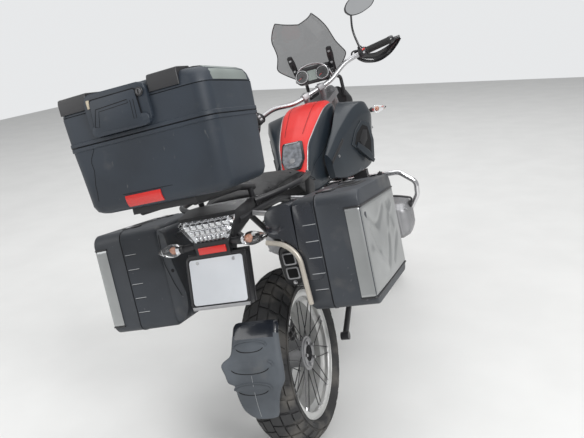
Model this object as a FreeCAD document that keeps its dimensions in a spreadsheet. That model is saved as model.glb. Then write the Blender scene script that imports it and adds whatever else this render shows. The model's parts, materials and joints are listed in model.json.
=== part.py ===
import FreeCAD, Part
import Sketcher
import math
import os

# Adventure motorcycle with a flat twin engine, two panniers and a top case, parked on its side stand.
# Bike frame, in mm: X right, Y forward, Z up, origin under the rear axle of the upright machine.
# Every sub-part is drawn in that frame. Its Placement leans it onto the side stand, and turns the
# fork and front wheel to the left steering stop.

os.makedirs("parts", exist_ok=True)
doc = FreeCAD.newDocument("adventure_motorcycle")
V = FreeCAD.Vector

# Driving sizes, in mm and degrees
SIZES = {
    # stance
    "wheelbase": 1507, "rake_angle": 25.5, "axle_lead": 50, "lean_angle": 11.4, "steer_lock": 40,
    # rear wheel
    "rear_tyre_radius": 318, "rear_tyre_width": 170, "rear_tyre_drop": 56, "rear_rim_radius": 229,
    "rear_rim_width": 126, "rear_hub_radius": 62, "rear_hub_half": 55, "rear_disc_radius": 138,
    "rear_disc_place": 66, "rear_axle_radius": 34, "rear_axle_bore": 26.5,
    # front wheel
    "front_tyre_radius": 325, "front_tyre_width": 120, "front_tyre_drop": 45, "front_rim_radius": 254,
    "front_rim_width": 92, "front_hub_radius": 40, "front_hub_half": 58, "front_disc_radius": 152,
    "front_disc_place": 72, "front_axle_radius": 12,
    # both wheels
    "tyre_wall": 12, "bead_depth": 14, "rim_wall": 6, "rim_well": 17, "rim_depth": 24, "spoke_radius": 2.4,
    "spoke_pairs": 16, "disc_thickness": 5, "disc_band": 34, "run_gap": 5, "pin_gap": 0.5, "seat_gap": 0.3,
    # fork
    "fork_half": 112, "fork_tube_radius": 18.5, "fork_leg_radius": 26, "fork_leg_length": 330,
    "yoke_height": 1085, "yoke_thickness": 30, "bridge_height": 735, "bridge_thickness": 34,
    "stem_radius": 12, "head_radius": 32, "head_length": 60, "ball_radius": 20,
    # handlebar
    "bar_radius": 12, "bar_half": 446, "grip_radius": 17, "grip_length": 124, "bar_height": 1172,
    "mirror_width": 190, "mirror_height": 100,
    # engine
    "engine_rear": 560, "engine_front": 1010, "engine_bottom": 330, "engine_top": 650, "engine_half": 140,
    "cylinder_reach": 372, "cylinder_height": 505, "cylinder_place": 890, "cylinder_shift": 25,
    "barrel_radius": 72, "head_length_y": 190, "head_height_z": 165, "fin_pitch": 14, "fin_thickness": 4,
    "guard_radius": 12.5, "skid_thickness": 4, "skid_half": 130,
    # frame and swing arm
    "frame_radius": 15, "subframe_radius": 12, "pivot_place": 535, "pivot_height": 400,
    "arm_offset": 146, "arm_radius": 42, "drive_radius": 92, "drive_inner": 74, "drive_outer": 188,
    # bodywork
    "tank_rear": 495, "tank_front": 985, "seat_height": 885, "cap_length": 112, "cap_width": 88,
    "cap_thickness": 10, "knuckle_radius": 4, "tank_half": 112, "panel_reach": 232, "screen_thickness": 4,
    # tail
    "tail_end": -330, "tail_top": 985, "tail_half": 100, "plate_width": 190, "plate_height": 145,
    "plate_thickness": 3, "plate_tilt": 19.4, "plate_place": -338, "plate_centre": 774,
    "guard_gap": 20, "guard_thickness": 22, "guard_width": 180,
    # top case
    "case_width": 432, "case_length": 303, "case_base_height": 184, "case_lid_height": 122,
    "case_wall": 4, "case_tilt": 6, "case_rear": -548, "case_floor": 1063, "case_corner": 34,
    "hinge_radius": 6, "hinge_offset": 9,
    # panniers
    "box_length": 418, "box_height": 330, "right_lid_depth": 130, "left_lid_depth": 104, "box_wall": 4,
    "box_pitch": 8.5, "box_flare": 2, "box_rear": -322, "box_floor": 622, "right_box_face": 237, "left_box_face": 206,
    "right_tray_depth": 76, "left_tray_depth": 137,
    "box_corner": 30, "rack_radius": 8,
    # stands
    "stand_pivot_place": 600, "stand_pivot_height": 306, "stand_pivot_side": -172, "foot_side": -292,
    "stand_eye_radius": 20, "stand_eye_half": 14,
    "foot_place": 640, "foot_length": 90, "foot_width": 46, "foot_thickness": 8, "stand_radius": 13,
    "centre_pivot_place": 520, "centre_pivot_height": 290, "centre_leg": 285, "centre_half": 95,
}

sheet = doc.addObject("Spreadsheet::Sheet", "Sizes")
for row, (name, value) in enumerate(SIZES.items(), start=1):
    sheet.set(f"A{row}", name)
    sheet.set(f"B{row}", str(value))
    sheet.setAlias(f"B{row}", name)
doc.recompute()


class Size:
    """A number from the sheet, with the expression that binds a property to it."""

    def __init__(self, value, text):
        self.value = value
        self.text = text

    def joined(self, sign, other, value):
        other_text = other.text if isinstance(other, Size) else repr(float(other))
        return Size(value, f"({self.text} {sign} {other_text})")

    def __add__(self, other):
        return self.joined("+", other, self.value + number(other))

    def __sub__(self, other):
        return self.joined("-", other, self.value - number(other))

    def __mul__(self, other):
        return self.joined("*", other, self.value * number(other))

    def __truediv__(self, other):
        return self.joined("/", other, self.value / number(other))

    def __neg__(self):
        return Size(-self.value, f"(-1 * {self.text})")


def number(size):
    """The plain number of a Size or of a number."""
    return size.value if isinstance(size, Size) else float(size)


def bound(name):
    """A sheet size that carries its expression."""
    return Size(float(sheet.get(name)), f"Sizes.{name}")


def mm(name):
    """A sheet size as a plain number."""
    return float(sheet.get(name))


# Stance
def steering_point(height):
    """The point of the steering axis at a height."""
    rake = math.radians(mm("rake_angle"))
    front_radius = mm("front_tyre_radius")
    foot = mm("wheelbase") - mm("axle_lead") / math.cos(rake) + front_radius * math.tan(rake)
    return V(0, foot - height * math.tan(rake), height)


def crown_radius(width, drop):
    """Radius of the arc that spans a tyre's width with the drop from its crown to its shoulders."""
    return (width * width / 4 + drop * drop) / (drop * 2)


RAKE = math.radians(mm("rake_angle"))
STEER_AXIS = V(0, -math.sin(RAKE), math.cos(RAKE))
STEER_FORWARD = V(0, math.cos(RAKE), math.sin(RAKE))
REAR_AXLE = V(0, 0, mm("rear_tyre_radius"))
FRONT_AXLE = V(0, mm("wheelbase"), mm("front_tyre_radius"))
REAR_CROWN = crown_radius(mm("rear_tyre_width"), mm("rear_tyre_drop"))
FRONT_CROWN = crown_radius(mm("front_tyre_width"), mm("front_tyre_drop"))
STEERED = FreeCAD.Placement(V(0, 0, 0), FreeCAD.Rotation(STEER_AXIS, mm("steer_lock")), steering_point(0))


def lowest(placement, centre, tyre_radius, crown):
    """Height of a leaning tyre's lowest point."""
    hub = placement.multVec(centre)
    axle = placement.Rotation.multVec(V(1, 0, 0))
    return hub.z - (tyre_radius - crown) * math.sqrt(1 - axle.z**2) - crown


def stance(pitch, rise):
    """Placement of the parked machine: leaned left, then pitched and raised onto both tyres."""
    lean = FreeCAD.Placement(V(0, 0, 0), FreeCAD.Rotation(V(0, 1, 0), -mm("lean_angle")), V(0, 0, REAR_CROWN))
    level = FreeCAD.Placement(V(0, 0, rise), FreeCAD.Rotation(V(1, 0, 0), pitch))
    return level.multiply(lean)


def parked():
    """The stance in which both tyres touch the floor."""
    pitch = 0.0
    rise = 0.0
    for _ in range(6):
        rest = stance(pitch, rise)
        rear = lowest(rest, REAR_AXLE, mm("rear_tyre_radius"), REAR_CROWN)
        front = lowest(rest.multiply(STEERED), FRONT_AXLE, mm("front_tyre_radius"), FRONT_CROWN)
        pitch -= math.degrees((front - rear) / mm("wheelbase"))
        rise -= rear
    return stance(pitch, rise)


CHASSIS = parked()
STEERING = CHASSIS.multiply(STEERED)
PIECES = []


# Shapes
def box(low, high):
    """A box between two corners."""
    span = high.sub(low)
    return Part.makeBox(span.x, span.y, span.z, low)


def rod(start, end, radius):
    """A round bar between two points."""
    line = end.sub(start)
    return Part.makeCylinder(radius, line.Length, start, line)


def cross_rod(x_start, x_end, y, z, radius):
    """A round bar along X."""
    return rod(V(x_start, y, z), V(x_end, y, z), radius)


def flat_bar(start, end, side, width, thickness):
    """A bar of rectangular section between two points; its width runs along side."""
    line = end.sub(start)
    run = V(line).normalize()
    across = V(side).normalize()
    normal = run.cross(across).normalize()
    across = normal.cross(run)
    corner = start.sub(across * (width / 2)).sub(normal * (thickness / 2))
    loop = [corner, corner + across * width, corner + across * width + normal * thickness,
            corner + normal * thickness, corner]
    return Part.Face(Part.makePolygon(loop)).extrude(line)


def tube(points, radius, bend):
    """A round tube along straight runs joined by tangent arcs of one bend radius."""
    edges = []
    start = points[0]
    for index in range(1, len(points) - 1):
        corner = points[index]
        back = points[index - 1].sub(corner).normalize()
        ahead = points[index + 1].sub(corner).normalize()
        half = back.getAngle(ahead) / 2
        room = 0.45 * min(points[index - 1].sub(corner).Length, points[index + 1].sub(corner).Length)
        reach = min(bend / math.tan(half), room)
        entry = corner + back * reach
        leave = corner + ahead * reach
        inward = (back + ahead).normalize()
        middle = corner + inward * (reach / math.cos(half) - reach * math.tan(half))
        edges.append(Part.LineSegment(start, entry).toShape())
        edges.append(Part.Arc(entry, middle, leave).toShape())
        start = leave
    edges.append(Part.LineSegment(start, points[-1]).toShape())
    path = Part.Wire(edges)
    run = points[1].sub(points[0])
    section = Part.Wire([Part.makeCircle(radius, points[0], run)])
    return path.makePipeShell([section], True, False)


def mirrored(shape):
    """The shape on the other side of the mid-plane."""
    return shape.mirror(V(0, 0, 0), V(1, 0, 0))


def both_sides(shape):
    """The shape and its mirror image."""
    return [shape, mirrored(shape)]


def joined(shapes):
    """One solid from overlapping shapes."""
    whole = shapes[0]
    if len(shapes) > 1:
        whole = shapes[0].multiFuse(shapes[1:])
    return whole.removeSplitter()


def plate_yz(corners, x_low, x_high):
    """A plate whose side outline is given as (y, z) corners."""
    loop = [V(x_low, y, z) for y, z in corners]
    return Part.Face(Part.makePolygon(loop + [loop[0]])).extrude(V(x_high - x_low, 0, 0))


def loft(loops):
    """A ruled solid through closed loops of corners."""
    wires = [Part.makePolygon(loop + [loop[0]]) for loop in loops]
    return Part.makeLoft(wires, True, True)


def rounded_loop(centre, width, length, corner):
    """A horizontal rectangle with round corners, as a wire of lines and arcs."""
    half_width = width / 2
    half_length = length / 2
    edges = []
    diagonal = corner * (1 - math.sqrt(0.5))
    corners = ((1, 1), (-1, 1), (-1, -1), (1, -1))
    for index, (sx, sy) in enumerate(corners):
        nx, ny = corners[(index + 1) % 4]
        if sy == ny:
            leave = V(sx * (half_width - corner), sy * half_length, 0)
            enter = V(nx * (half_width - corner), ny * half_length, 0)
            last = V(nx * half_width, ny * (half_length - corner), 0)
        else:
            leave = V(sx * half_width, sy * (half_length - corner), 0)
            enter = V(nx * half_width, ny * (half_length - corner), 0)
            last = V(nx * (half_width - corner), ny * half_length, 0)
        middle = V(nx * (half_width - diagonal), ny * (half_length - diagonal), 0)
        edges.append(Part.LineSegment(centre + leave, centre + enter).toShape())
        edges.append(Part.Arc(centre + enter, centre + middle, centre + last).toShape())
    return Part.Wire(edges)


def case_solid(rows):
    """A solid through rows of (height, width, length, corner, forward shift)."""
    wires = [rounded_loop(V(0, shift, height), width, length, corner)
             for height, width, length, corner, shift in rows]
    return Part.makeLoft(wires, True, True)


def add(label, shape, placement=CHASSIS):
    """Files a shape as a sub-part of the parked machine."""
    item = doc.addObject("Part::Feature", label)
    item.Label = label
    item.Shape = shape
    item.Placement = placement.multiply(item.Placement)
    PIECES.append(item)
    return item


def add_body(label, placement=CHASSIS):
    """A PartDesign body filed as a sub-part."""
    body = doc.addObject("PartDesign::Body", label)
    body.Label = label
    body.Placement = placement
    PIECES.append(body)
    return body


def outline_sketch(body, role, corners):
    """A closed sketch on an origin plane.

    Corners are (u, v), or (u, v, radius, side) where an arc leaves for the next corner; side is 1
    where the arc bulges to the left of that way and -1 where it bulges to the right.
    """
    sketch = body.newObject("Sketcher::SketchObject", body.Name + "Outline")
    sketch.AttachmentSupport = [(next(item for item in body.Origin.OriginFeatures if item.Role == role), "")]
    sketch.MapMode = "FlatFace"
    count = len(corners)
    for index, corner in enumerate(corners):
        following = corners[(index + 1) % count]
        start = V(number(corner[0]), number(corner[1]), 0)
        end = V(number(following[0]), number(following[1]), 0)
        if len(corner) == 4:
            radius = number(corner[2])
            chord = end.sub(start)
            rise = math.sqrt(radius**2 - (chord.Length / 2) ** 2)
            outward = V(-chord.y, chord.x, 0).normalize() * corner[3]
            centre = (start + end) * 0.5 - outward * rise
            first, last = (end, start) if arc_runs_back(corner) else (start, end)
            angles = [math.atan2(point.y - centre.y, point.x - centre.x) for point in (first, last)]
            if angles[1] < angles[0]:
                angles[1] += 2 * math.pi
            sketch.addGeometry(Part.ArcOfCircle(Part.Circle(centre, V(0, 0, 1), radius), *angles))
        else:
            sketch.addGeometry(Part.LineSegment(start, end))
    for index, corner in enumerate(corners):
        following = (index + 1) % count
        own_start, own_end = (2, 1) if arc_runs_back(corner) else (1, 2)
        next_start = 2 if arc_runs_back(corners[following]) else 1
        sketch.addConstraint(Sketcher.Constraint("Coincident", index, own_end, following, next_start))
        for axis, coordinate in (("X", corner[0]), ("Y", corner[1])):
            name = f"{axis.lower()}{index}"
            fixed = sketch.addConstraint(
                Sketcher.Constraint("Distance" + axis, -1, 1, index, own_start, number(coordinate)))
            sketch.renameConstraint(fixed, name)
            if isinstance(coordinate, Size):
                sketch.setExpression("Constraints." + name, coordinate.text)
        if len(corner) == 4:
            fixed = sketch.addConstraint(Sketcher.Constraint("Radius", index, number(corner[2])))
            sketch.renameConstraint(fixed, f"arc{index}")
            if isinstance(corner[2], Size):
                sketch.setExpression(f"Constraints.arc{index}", corner[2].text)
    return sketch


def arc_runs_back(corner):
    """Whether the anticlockwise arc of a corner starts at the following corner."""
    return len(corner) == 4 and corner[3] == 1


def revolved(label, corners, placement):
    """A body turned about its X axis from an outline of (along the axle, radius) corners."""
    body = add_body(label, placement)
    sketch = outline_sketch(body, "XY_Plane", corners)
    turn = body.newObject("PartDesign::Revolution", label + "Turn")
    turn.Profile = sketch
    turn.ReferenceAxis = (sketch, ["H_Axis"])
    turn.Angle = 360
    return body


def padded(label, corners, width, placement=CHASSIS):
    """A body padded about the mid-plane from a side outline of (y, z) corners."""
    body = add_body(label, placement)
    sketch = outline_sketch(body, "YZ_Plane", corners)
    pad = body.newObject("PartDesign::Pad", label + "Pad")
    pad.Profile = sketch
    pad.Length = number(width)
    pad.setExpression("Length", width.text)
    pad.Midplane = True
    return body


# Wheels
def tyre(side, centre, placement):
    """A hollow tyre on its rim."""
    half = bound(f"{side}_tyre_width") / 2
    drop = bound(f"{side}_tyre_drop")
    crown = (half * half + drop * drop) / (drop * 2)
    shoulder = bound(f"{side}_tyre_radius") - drop
    bead = bound(f"{side}_rim_width") / 2 - bound("rim_wall") - bound("seat_gap")
    bead_radius = bound(f"{side}_rim_radius") - bound("bead_depth") + bound("seat_gap")
    flange = bound(f"{side}_rim_radius") + bound("seat_gap") * 5
    wall = bound("tyre_wall")
    corners = [
        (-bead, bead_radius), (-bead, flange), (-half, shoulder, crown, 1), (half, shoulder), (bead, flange),
        (bead, bead_radius), (bead - wall, bead_radius), (bead - wall, flange),
        (half - wall, shoulder, crown - wall, -1), (-half + wall, shoulder), (-bead + wall, flange),
        (-bead + wall, bead_radius),
    ]
    return revolved(f"{side}_tyre", corners, placement.multiply(FreeCAD.Placement(centre, FreeCAD.Rotation())))


def rim_shape(side):
    """Rim, hub and crossed spokes of a wire wheel, about its own centre."""
    half = mm(f"{side}_rim_width") / 2
    radius = mm(f"{side}_rim_radius")
    wall = mm("rim_wall")
    seat = radius - mm("bead_depth")
    well = radius - mm("bead_depth") - mm("rim_well")
    outline = [
        (-half, radius), (-half + wall, radius), (-half + wall, seat), (-half * 0.62, seat), (-half * 0.5, well),
        (half * 0.5, well), (half * 0.62, seat), (half - wall, seat), (half - wall, radius), (half, radius),
        (half, radius - mm("rim_depth")), (half * 0.62, seat - wall), (half * 0.5, well - wall),
        (-half * 0.5, well - wall), (-half * 0.62, seat - wall), (-half, radius - mm("rim_depth")),
    ]
    loop = [V(x, r, 0) for x, r in outline]
    rim = Part.Face(Part.makePolygon(loop + [loop[0]])).revolve(V(0, 0, 0), V(1, 0, 0), 360)
    hub_radius = mm(f"{side}_hub_radius")
    hub_half = mm(f"{side}_hub_half")
    hub = cross_rod(-hub_half, hub_half, 0, 0, hub_radius - 10)
    flanges = [cross_rod(s * hub_half, s * (hub_half - 8), 0, 0, hub_radius) for s in (-1, 1)]
    bore = cross_rod(-hub_half - 1, hub_half + 1, 0, 0, mm(f"{side}_axle_radius") + mm("pin_gap"))
    pairs = int(mm("spoke_pairs"))
    spokes = []
    for s in (-1, 1):
        for index in range(pairs):
            for lean in (-1, 1):
                root_angle = 2 * math.pi * (index + 0.25 * s + 0.25 * lean) / pairs
                tip_angle = root_angle + lean * math.radians(16)
                root = V(s * (hub_half - 6 + 1.6 * lean), (hub_radius - 6) * math.cos(root_angle),
                         (hub_radius - 6) * math.sin(root_angle))
                tip_radius = radius - mm("rim_depth") + 4
                tip = V(s * (half - 4), tip_radius * math.cos(tip_angle), tip_radius * math.sin(tip_angle))
                spokes.append(rod(root, tip, mm("spoke_radius")))
    return joined([rim, hub] + flanges + spokes).cut(bore)


def placed(shape, centre):
    """A copy of a shape moved to a centre."""
    moved = shape.copy()
    moved.Placement = FreeCAD.Placement(centre, FreeCAD.Rotation()).multiply(moved.Placement)
    return moved


tyre("rear", REAR_AXLE, CHASSIS)
tyre("front", FRONT_AXLE, STEERING)
add("rear_rim", placed(rim_shape("rear"), REAR_AXLE))
add("front_rim", placed(rim_shape("front"), FRONT_AXLE), STEERING)


def disc_corners(side):
    """Half outline of a brake disc with the carrier that bolts it to the hub."""
    radius = bound(f"{side}_disc_radius")
    place = bound(f"{side}_disc_place")
    thick = bound("disc_thickness")
    band = radius - bound("disc_band")
    hub = bound(f"{side}_hub_radius") - 12
    end = bound(f"{side}_hub_half")
    return [
        (-place - thick / 2, radius), (-place - thick / 2, band), (-place - thick / 2, hub), (-end, hub),
        (-end, hub + 14), (-place + thick / 2, hub + 14), (-place + thick / 2, radius),
    ]


rear_disc = revolved("rear_disc", disc_corners("rear"),
                     CHASSIS.multiply(FreeCAD.Placement(REAR_AXLE, FreeCAD.Rotation())))
left_loop = [V(number(x), number(r), 0) for x, r in disc_corners("front")]
left_disc = Part.Face(Part.makePolygon(left_loop + [left_loop[0]])).revolve(V(0, 0, 0), V(1, 0, 0), 360)
add("front_discs", placed(Part.makeCompound(both_sides(left_disc)), FRONT_AXLE), STEERING)


# Engine, exhaust and guards
engine_half = bound("engine_half")
rear, front = bound("engine_rear"), bound("engine_front")
low, high = bound("engine_bottom"), bound("engine_top")
engine = padded("engine_block", [
    (rear, low + 60), (rear + 40, low), (front - 60, low), (front, low + 70),
    (front, high - 60), (front - 60, high), (rear + 60, high), (rear, high - 70),
], engine_half * 2)
doc.recompute()


def cylinder(side, forward):
    """One finned cylinder with its head and cover; side is 1 on the right."""
    place = mm("cylinder_place") + forward
    height = mm("cylinder_height")
    root = mm("engine_half") + mm("seat_gap")
    reach = mm("cylinder_reach")
    barrel_end = root + 92
    parts = [cross_rod(side * root, side * barrel_end, place, height, mm("barrel_radius"))]
    start = root + mm("fin_pitch") / 2
    fin_half_y = mm("head_length_y") / 2 - 8
    fin_half_z = mm("head_height_z") / 2 - 6
    for index in range(int((barrel_end - start) / mm("fin_pitch"))):
        x = start + index * mm("fin_pitch")
        corners = sorted((side * x, side * (x + mm("fin_thickness"))))
        parts.append(box(V(corners[0], place - fin_half_y, height - fin_half_z),
                         V(corners[1], place + fin_half_y, height + fin_half_z)))
    rows = [(barrel_end - 6, 0), (reach - 45, 0), (reach - 12, 14), (reach, 34)]
    loops = []
    for x, inset in rows:
        half_y = mm("head_length_y") / 2 - inset
        half_z = mm("head_height_z") / 2 - inset
        cut = 22
        outline = [(half_y, half_z - cut), (half_y - cut, half_z), (-half_y + cut, half_z), (-half_y, half_z - cut),
                   (-half_y, -half_z + cut), (-half_y + cut, -half_z), (half_y - cut, -half_z), (half_y, -half_z + cut)]
        loops.append([V(side * x, place + y, height + z) for y, z in outline])
    parts.append(loft(loops))
    return joined(parts)


add("cylinders", Part.makeCompound([cylinder(1, 0), cylinder(-1, mm("cylinder_shift"))]))

bar_front = mm("cylinder_place") + mm("cylinder_shift") + mm("head_length_y") / 2 + mm("guard_radius") + 8
guard_table = (
    # side, forward, height
    (95, -4, 695), (330, 0, 688), (402, 0, 625), (395, 0, 560), (300, 0, 430), (118, -4, 425),
)
guard_path = [V(x, bar_front + y, z) for x, y, z in guard_table]
guard_side = tube(guard_path, mm("guard_radius"), 40)
guard_cross = cross_rod(-95, 95, bar_front - 4, 695, mm("guard_radius"))
guard_feet = both_sides(rod(V(118, bar_front - 4, 425), V(118, mm("engine_front") + mm("seat_gap"), 425),
                            mm("guard_radius")))
add("engine_guard", joined(both_sides(guard_side) + [guard_cross] + guard_feet))

thick = bound("skid_thickness")
skid_low = low - 62
padded("skid_plate", [
    (rear - 20, skid_low), (front - 40, skid_low), (front + 34, low + 60), (front + 34 - thick, low + 60),
    (front - 42, skid_low + thick), (rear - 20, skid_low + thick),
], bound("skid_half") * 2)
doc.recompute()

header_table = (
    # side, forward, height
    (275, 0, 352), (170, -30, 302), (66, -130, 300), (66, -240, 300),
)
head_underside = mm("cylinder_height") - mm("head_height_z") / 2 - mm("seat_gap")
headers = []
for side, forward in ((1, 0), (-1, mm("cylinder_shift"))):
    path = [V(side * 275, mm("cylinder_place") + forward, head_underside)]
    path += [V(side * x, mm("cylinder_place") + forward + y, z) for x, y, z in header_table]
    headers.append(tube(path, 21, 45))
collector = box(V(-105, 606, number(skid_low + thick) + mm("seat_gap")), V(105, 760, 326))
silencer_front = 380
link_path = [V(70, 650, 297), V(208, 606, 297), V(208, 500, 376), V(176, 430, 462),
             V(176, silencer_front + mm("seat_gap"), 462)]
add("exhaust_pipes", joined(headers + [collector, tube(link_path, 23, 50)]))

silencer_rows = (
    # forward, side, height, half width, half height
    (silencer_front, 176, 462, 32, 40), (300, 178, 512, 40, 62), (60, 178, 622, 40, 72), (-180, 178, 722, 38, 70),
    (-226, 178, 740, 32, 62),
)
loops = []
for y, x, z, half_width, half_height in silencer_rows:
    cut = 0.45 * half_width
    outline = [(half_width, half_height - cut), (half_width - cut, half_height), (-half_width + cut, half_height),
               (-half_width, half_height - cut), (-half_width, -half_height + cut), (-half_width + cut, -half_height),
               (half_width - cut, -half_height), (half_width, -half_height + cut)]
    loops.append([V(x + u, y, z + w) for u, w in outline])
add("silencer", loft(loops))

# Side stand: its flat foot lies on the floor in the parked stance, and its eye turns on a slanted bolt
floor_frame = CHASSIS.inverse()
stand_pivot = V(mm("stand_pivot_side"), mm("stand_pivot_place"), mm("stand_pivot_height"))
foot_high = CHASSIS.multVec(V(mm("foot_side"), mm("foot_place"), mm("stand_pivot_height") - 260))
pad = box(V(foot_high.x - mm("foot_width") / 2, foot_high.y - mm("foot_length") / 2, 0),
          V(foot_high.x + mm("foot_width") / 2, foot_high.y + mm("foot_length") / 2, mm("foot_thickness")))
pad.Placement = floor_frame.multiply(pad.Placement)
foot_centre = floor_frame.multVec(V(foot_high.x, foot_high.y, mm("foot_thickness") + mm("stand_radius")))
foot_end = floor_frame.multVec(V(foot_high.x, foot_high.y, mm("foot_thickness") / 2))
folded_stand = V(-0.12, -0.97, -0.2).normalize()
leg_down = (foot_centre - stand_pivot).normalize()
stand_axis = folded_stand.cross(leg_down).normalize()
stand_eye = rod(stand_pivot - stand_axis * mm("stand_eye_half"), stand_pivot + stand_axis * mm("stand_eye_half"),
                mm("stand_eye_radius"))
stand_leg = rod(stand_pivot, foot_centre, mm("stand_radius"))
stand_foot = rod(foot_centre, foot_end, mm("stand_radius"))
add("side_stand", joined([stand_leg, stand_foot, stand_eye, pad]))
stand_lug = stand_pivot + stand_axis * (mm("stand_eye_half") + mm("seat_gap"))

# Frame
pivot = V(0, mm("pivot_place"), mm("pivot_height"))
head = steering_point(mm("yoke_height")) - STEER_AXIS * (mm("yoke_thickness") / 2 + mm("pin_gap"))
head_low = head - STEER_AXIS * mm("head_length")
spine = [head_low + V(36, 6, 12), V(85, 1040, 880), V(100, 985, 765), V(120, 800, 750), V(158, 640, 712),
         V(158, 546, 480), V(158, 552, 330)]
rail = [V(158, 640, 712), V(132, 300, 800), V(105, 0, 900), V(78, -285, 925)]
strut = [V(158, 566, 540), V(132, 250, 800)]
cross_tubes = (
    # half length, forward, height
    (158, 640, 712), (151, 520, 741), (158, 540, 480), (158, 552, 330), (84, -210, 919),
)
frame_tubes = []
for path, radius, bend in ((spine, mm("frame_radius"), 60), (rail, mm("subframe_radius"), 120)):
    frame_tubes += both_sides(tube(path, radius, bend))
frame_tubes += both_sides(rod(strut[0], strut[1], mm("subframe_radius")))
frame_tubes += both_sides(rod(V(114, 860, 757), V(153.25, 860, 803.87), 8))
for half, y, z in cross_tubes:
    frame_tubes.append(cross_rod(-half, half, y, z, mm("subframe_radius")))
axis_back = 60
pivot_line = V(0, pivot.y - axis_back, pivot.z - 14)
for x in (-92, 108):
    lug = flat_bar(V(x, 520, 482), pivot_line + V(x, -14, -10), V(0, 1, 0), 74, 16)
    frame_tubes.append(lug)
for x in (-80, 70):
    frame_tubes.append(plate_yz([(556, 340), (540, 340), (502, 300), (506, 274), (534, 270), (560, 318)], x, x + 10))
frame_tubes.append(rod(stand_lug, stand_lug + stand_axis * 8, mm("stand_eye_radius")))
lug_middle = stand_lug + stand_axis * 4
lug_root = V(-156, 548, 330)
lug_root -= stand_axis * (lug_root - lug_middle).dot(stand_axis)
frame_tubes.append(flat_bar(lug_root, lug_middle, stand_axis, 8, 30))
head_tube = rod(head_low, head, mm("head_radius"))
head_link = both_sides(rod(head_low + V(0, 0, 15), head_low + V(44, 0, 15), 16))
stem_bore = rod(head_low - STEER_AXIS * 12, head + STEER_AXIS * 2, mm("stem_radius") + mm("pin_gap"))
arm_bore = cross_rod(-120, 130, pivot_line.y, pivot_line.z, 26.3)
stand_bore = cross_rod(-90, 90, mm("centre_pivot_place"), mm("centre_pivot_height"), 15.3)
add("main_frame", joined(frame_tubes + [head_tube] + head_link).cut(stem_bore).cut(arm_bore).cut(stand_bore))

# Swing arm with its final drive on the left, and the stub that carries the wheel
drive = REAR_AXLE
arm_parts = [
    cross_rod(-mm("drive_inner"), -mm("drive_outer"), drive.y, drive.z, mm("drive_radius")),
    rod(V(-mm("arm_offset"), 30, drive.z + 10), V(-mm("arm_offset"), pivot.y - 35, pivot.z - 8), mm("arm_radius")),
    cross_rod(-mm("arm_offset") - 30, 122, pivot_line.y, pivot_line.z, 26),
    cross_rod(-mm("drive_inner") - 5, mm("rear_hub_half"), drive.y, drive.z, mm("rear_axle_radius")),
]
axle_bore = cross_rod(-mm("drive_outer") - 1, mm("rear_hub_half") + 1, drive.y, drive.z, mm("rear_axle_bore"))
add("swingarm", joined(arm_parts).cut(axle_bore))

shock_low = V(-40, pivot_line.y, pivot_line.z + 26 + mm("seat_gap"))
shock_high = V(-40, 517, 741 - mm("subframe_radius") - mm("seat_gap"))
shock_run = shock_high.sub(shock_low).normalize()
shock = [rod(shock_low, shock_high, 20)]
coils = 9
for index in range(coils):
    centre = shock_low + (shock_high - shock_low) * ((index + 1.5) / (coils + 3))
    shock.append(rod(centre - shock_run * 6, centre + shock_run * 6, 38))
add("rear_shock", joined(shock))

# Front wishbone, whose ball joint lies on the steering axis, and its spring
ball = steering_point(mm("bridge_height")) - STEER_AXIS * (mm("bridge_thickness") / 2 + mm("ball_radius") + 8)
arm_root = V(105, mm("engine_front") + 16 + mm("seat_gap"), 560)
wishbone = both_sides(rod(arm_root, ball + V(12, -16, -10), 13))
wishbone += both_sides(cross_rod(arm_root.x - 14, arm_root.x + 14, arm_root.y, arm_root.z, 16))
eye = rod(ball - STEER_AXIS * mm("ball_radius"), ball + STEER_AXIS * mm("ball_radius"), 26)
eye_bore = rod(ball - STEER_AXIS * 40, ball + STEER_AXIS * 40, mm("stem_radius") + mm("pin_gap"))
strut_low = (arm_root + ball) * 0.5
strut_low.x = 0
strut_high = V(0, 1022, 905)
cross = cross_rod(-58, 58, strut_low.y, strut_low.z, 12)
spring_run = strut_high.sub(strut_low).normalize()
spring = [rod(strut_low, strut_high, 16)]
for index in range(7):
    centre = strut_low + (strut_high - strut_low) * ((index + 1.5) / 9.5)
    spring.append(rod(centre - spring_run * 5, centre + spring_run * 5, 32))
add("front_wishbone", joined(wishbone + [eye, cross] + spring).cut(eye_bore))

# Fuel tank, its cap and side panels
tank_rows = (
    # forward, half width low, half width high, low, high
    (0, 40, 46, 790, 893), (75, 60, 64, 775, 1003), (200, 88, 92, 775, 1066), (316, 100, 106, 780, 1112),
    (435, 104, 112, 800, 1122), (490, 92, 100, 850, 1104),
)
loops = []
for forward, half_low, half_high, z_low, z_high in tank_rows:
    y = mm("tank_rear") + forward
    outline = [(half_low, z_low), (half_high, (z_low + z_high) / 2), (half_high, z_high - 34),
               (half_high - 30, z_high - 6), (0, z_high), (-half_high + 30, z_high - 6), (-half_high, z_high - 34),
               (-half_high, (z_low + z_high) / 2), (-half_low, z_low)]
    loops.append([V(x, y, z) for x, z in outline])
tank = loft(loops)
tank = tank.cut(rod(strut_low, strut_high + spring_run * 10, 38))
cap_low = V(0, mm("tank_rear") + 6, 900)
cap_run = V(0, 75, 110).normalize()
cap_up = V(0, -cap_run.z, cap_run.y)


def cap_block(grow, lift, height):
    """A block in the plane of the fuel cap, grown by a margin."""
    half = mm("cap_width") / 2 + grow
    length = mm("cap_length") + 2 * grow
    start = cap_low - cap_run * grow + cap_up * lift
    outline = [(half * 0.62, 0), (half, length * 0.3), (half * 0.86, length), (-half * 0.86, length),
               (-half, length * 0.3), (-half * 0.62, 0)]
    loop = [start + V(x, 0, 0) + cap_run * along for x, along in outline]
    return Part.Face(Part.makePolygon(loop + [loop[0]])).extrude(cap_up * height)


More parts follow.
